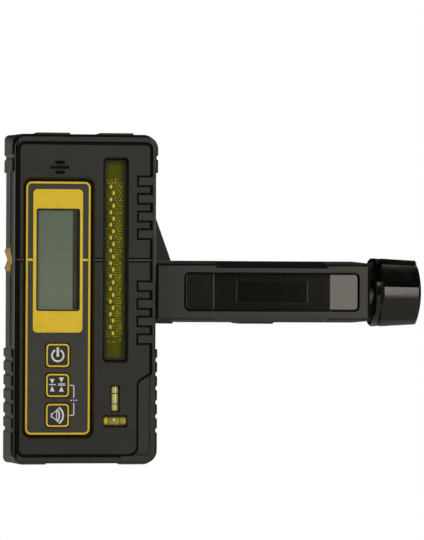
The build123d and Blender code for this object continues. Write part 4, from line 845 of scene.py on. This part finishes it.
# Groove depth by phase: flat crest, sloped flank, flat root; it fades out towards both ends
phase = (along[:, None] / leadScrew["pitch"] - turn / (2 * math.pi)) % 1.0
groove = np.clip((0.5 - np.abs(phase - 0.5)) * leadScrew["slope"] - leadScrew["crest"], 0.0, 1.0)
fade = np.clip(np.minimum(along - along[0], along[-1] - along) / leadScrew["fade"], 0.0, 1.0)[:, None]
threadRadius = radius - leadScrew["clear"] - leadScrew["depth"] * groove * fade
journal = np.full((2, leadScrew["around"]), leadScrew["journal"])
ringRadius = np.concatenate([journal, threadRadius, journal])
shoulders = start - leadScrew["shoulder"], stop + leadScrew["shoulder"]
along = np.concatenate([[low.x / mm, shoulders[0]], along, [shoulders[1], high.x / mm]])
screwRows = np.stack([along[:, None] * np.ones(leadScrew["around"]),
                      leadScrew["axisY"] + ringRadius * np.cos(turn), ringRadius * np.sin(turn)], axis=-1)
makePiece("lead_screw_thread", [screwRows], zincSteel, "clamp_drive", stands=("lead_screw",))
print("lead screw cut")

# stage: a pale paper floor, and soft boxes in front and behind on either side
paperFloor = {"x": (-0.8, 0.8), "y": (-1.0, 0.3), "z": -0.16,
              "pulpScale": 40.0, "dark": "#e9e9e7", "light": "#efefed", "rough": 0.9}
(left, right), (front, back), level = paperFloor["x"], paperFloor["y"], paperFloor["z"]
floorMesh = bpy.data.meshes.new("floor")
corners = [(left, front, level), (right, front, level), (right, back, level), (left, back, level)]
floorMesh.from_pydata(corners, [], [(0, 1, 2, 3)])
floor = bpy.data.objects.new("floor", floorMesh)
scene.collection.objects.link(floor)
paper, tree = startFinish("white studio paper")
pulp = noiseOf(tree, placeOf(tree), paperFloor["pulpScale"])
tone = mixColour(tree, pulp, paperFloor["dark"], paperFloor["light"])
floorMesh.materials.append(closeFinish(paper, tree, {"Base Color": tone, "Roughness": paperFloor["rough"]}))

warmLight = (1.0, 0.96, 0.83)
softBoxes = {
    "soft_box_left": {"turn": -34.0, "rise": 13.0, "far": 1.5, "size": (0.8, 1.1), "power": 10.5},
    "soft_box_right": {"turn": 24.5, "rise": 12.0, "far": 1.6, "size": (0.45, 1.2), "power": 10.0},
    "soft_box_back_right": {"turn": 128.0, "rise": 25.0, "far": 1.6, "size": (0.9, 1.1), "power": 13.0},
    "soft_box_back_left": {"turn": -148.0, "rise": 8.0, "far": 1.6, "size": (0.7, 1.1), "power": 1.3},
}
for name, box in softBoxes.items():
    lamp = bpy.data.objects.new(name, bpy.data.lights.new(name, "AREA"))
    lamp.data.shape = "RECTANGLE"
    lamp.data.size, lamp.data.size_y = box["size"]
    lamp.data.energy = box["power"]
    lamp.data.color = warmLight
    across, up = math.radians(box["turn"]), math.radians(box["rise"])
    aim = np.array((math.sin(across) * math.cos(up), -math.cos(across) * math.cos(up), math.sin(up)))
    lamp.location = box["far"] * aim
    lamp.rotation_euler = (math.pi / 2 - up, 0.0, across)
    scene.collection.objects.link(lamp)

# What the gloss mirrors: a low white backdrop straight behind, and a weaker glow from below that spares
# the middle. Spans are in the direction's own x, y and z. The camera sees plain white, and matt faces
# get an even, weak fill.
backdrop = {"depth": (0.6, 0.85), "height": (0.14, 0.04), "left": (-0.14, -0.06), "right": (0.32, 0.18),
            "ground": (-0.08, -0.2), "groundLevel": 0.6, "spared": 0.148, "aside": (0.12, 0.35),
            "darkest": 0.01, "fill": 0.12}
room = bpy.data.worlds.new("studio")
room.use_nodes = True
tree = room.node_tree
tree.nodes.clear()
ray = addNode(tree, "ShaderNodeLightPath").outputs
facing = addNode(tree, "ShaderNodeTexCoord").outputs["Generated"]
x, y, z = addNode(tree, "ShaderNodeSeparateXYZ", None, {0: facing}).outputs
behind = mathOf(tree, "MULTIPLY", rangeOf(tree, y, *backdrop["depth"]),
                rangeOf(tree, mathOf(tree, "ABSOLUTE", z), *backdrop["height"]))
across = mathOf(tree, "MULTIPLY", rangeOf(tree, x, *backdrop["left"]), rangeOf(tree, x, *backdrop["right"]))
offside = mathOf(tree, "ABSOLUTE", mathOf(tree, "SUBTRACT", x, backdrop["spared"]))
below = mathOf(tree, "MULTIPLY", rangeOf(tree, z, *backdrop["ground"], high=backdrop["groundLevel"]),
               rangeOf(tree, offside, *backdrop["aside"]))
lit = mathOf(tree, "MAXIMUM", mathOf(tree, "MULTIPLY", behind, across), below)
mirrored = rangeOf(tree, lit, 0.0, 1.0, low=backdrop["darkest"])
glossy = mathOf(tree, "MAXIMUM", ray["Is Glossy Ray"], ray["Is Transmission Ray"])
strength = mixValue(tree, ray["Is Camera Ray"], mixValue(tree, glossy, backdrop["fill"], mirrored), 1.0)
glow = addNode(tree, "ShaderNodeBackground", None, {"Color": (1.0, 1.0, 1.0, 1.0), "Strength": strength})
addNode(tree, "ShaderNodeOutputWorld", None, {"Surface": glow.outputs[0]})
scene.world = room
print("stage lit")
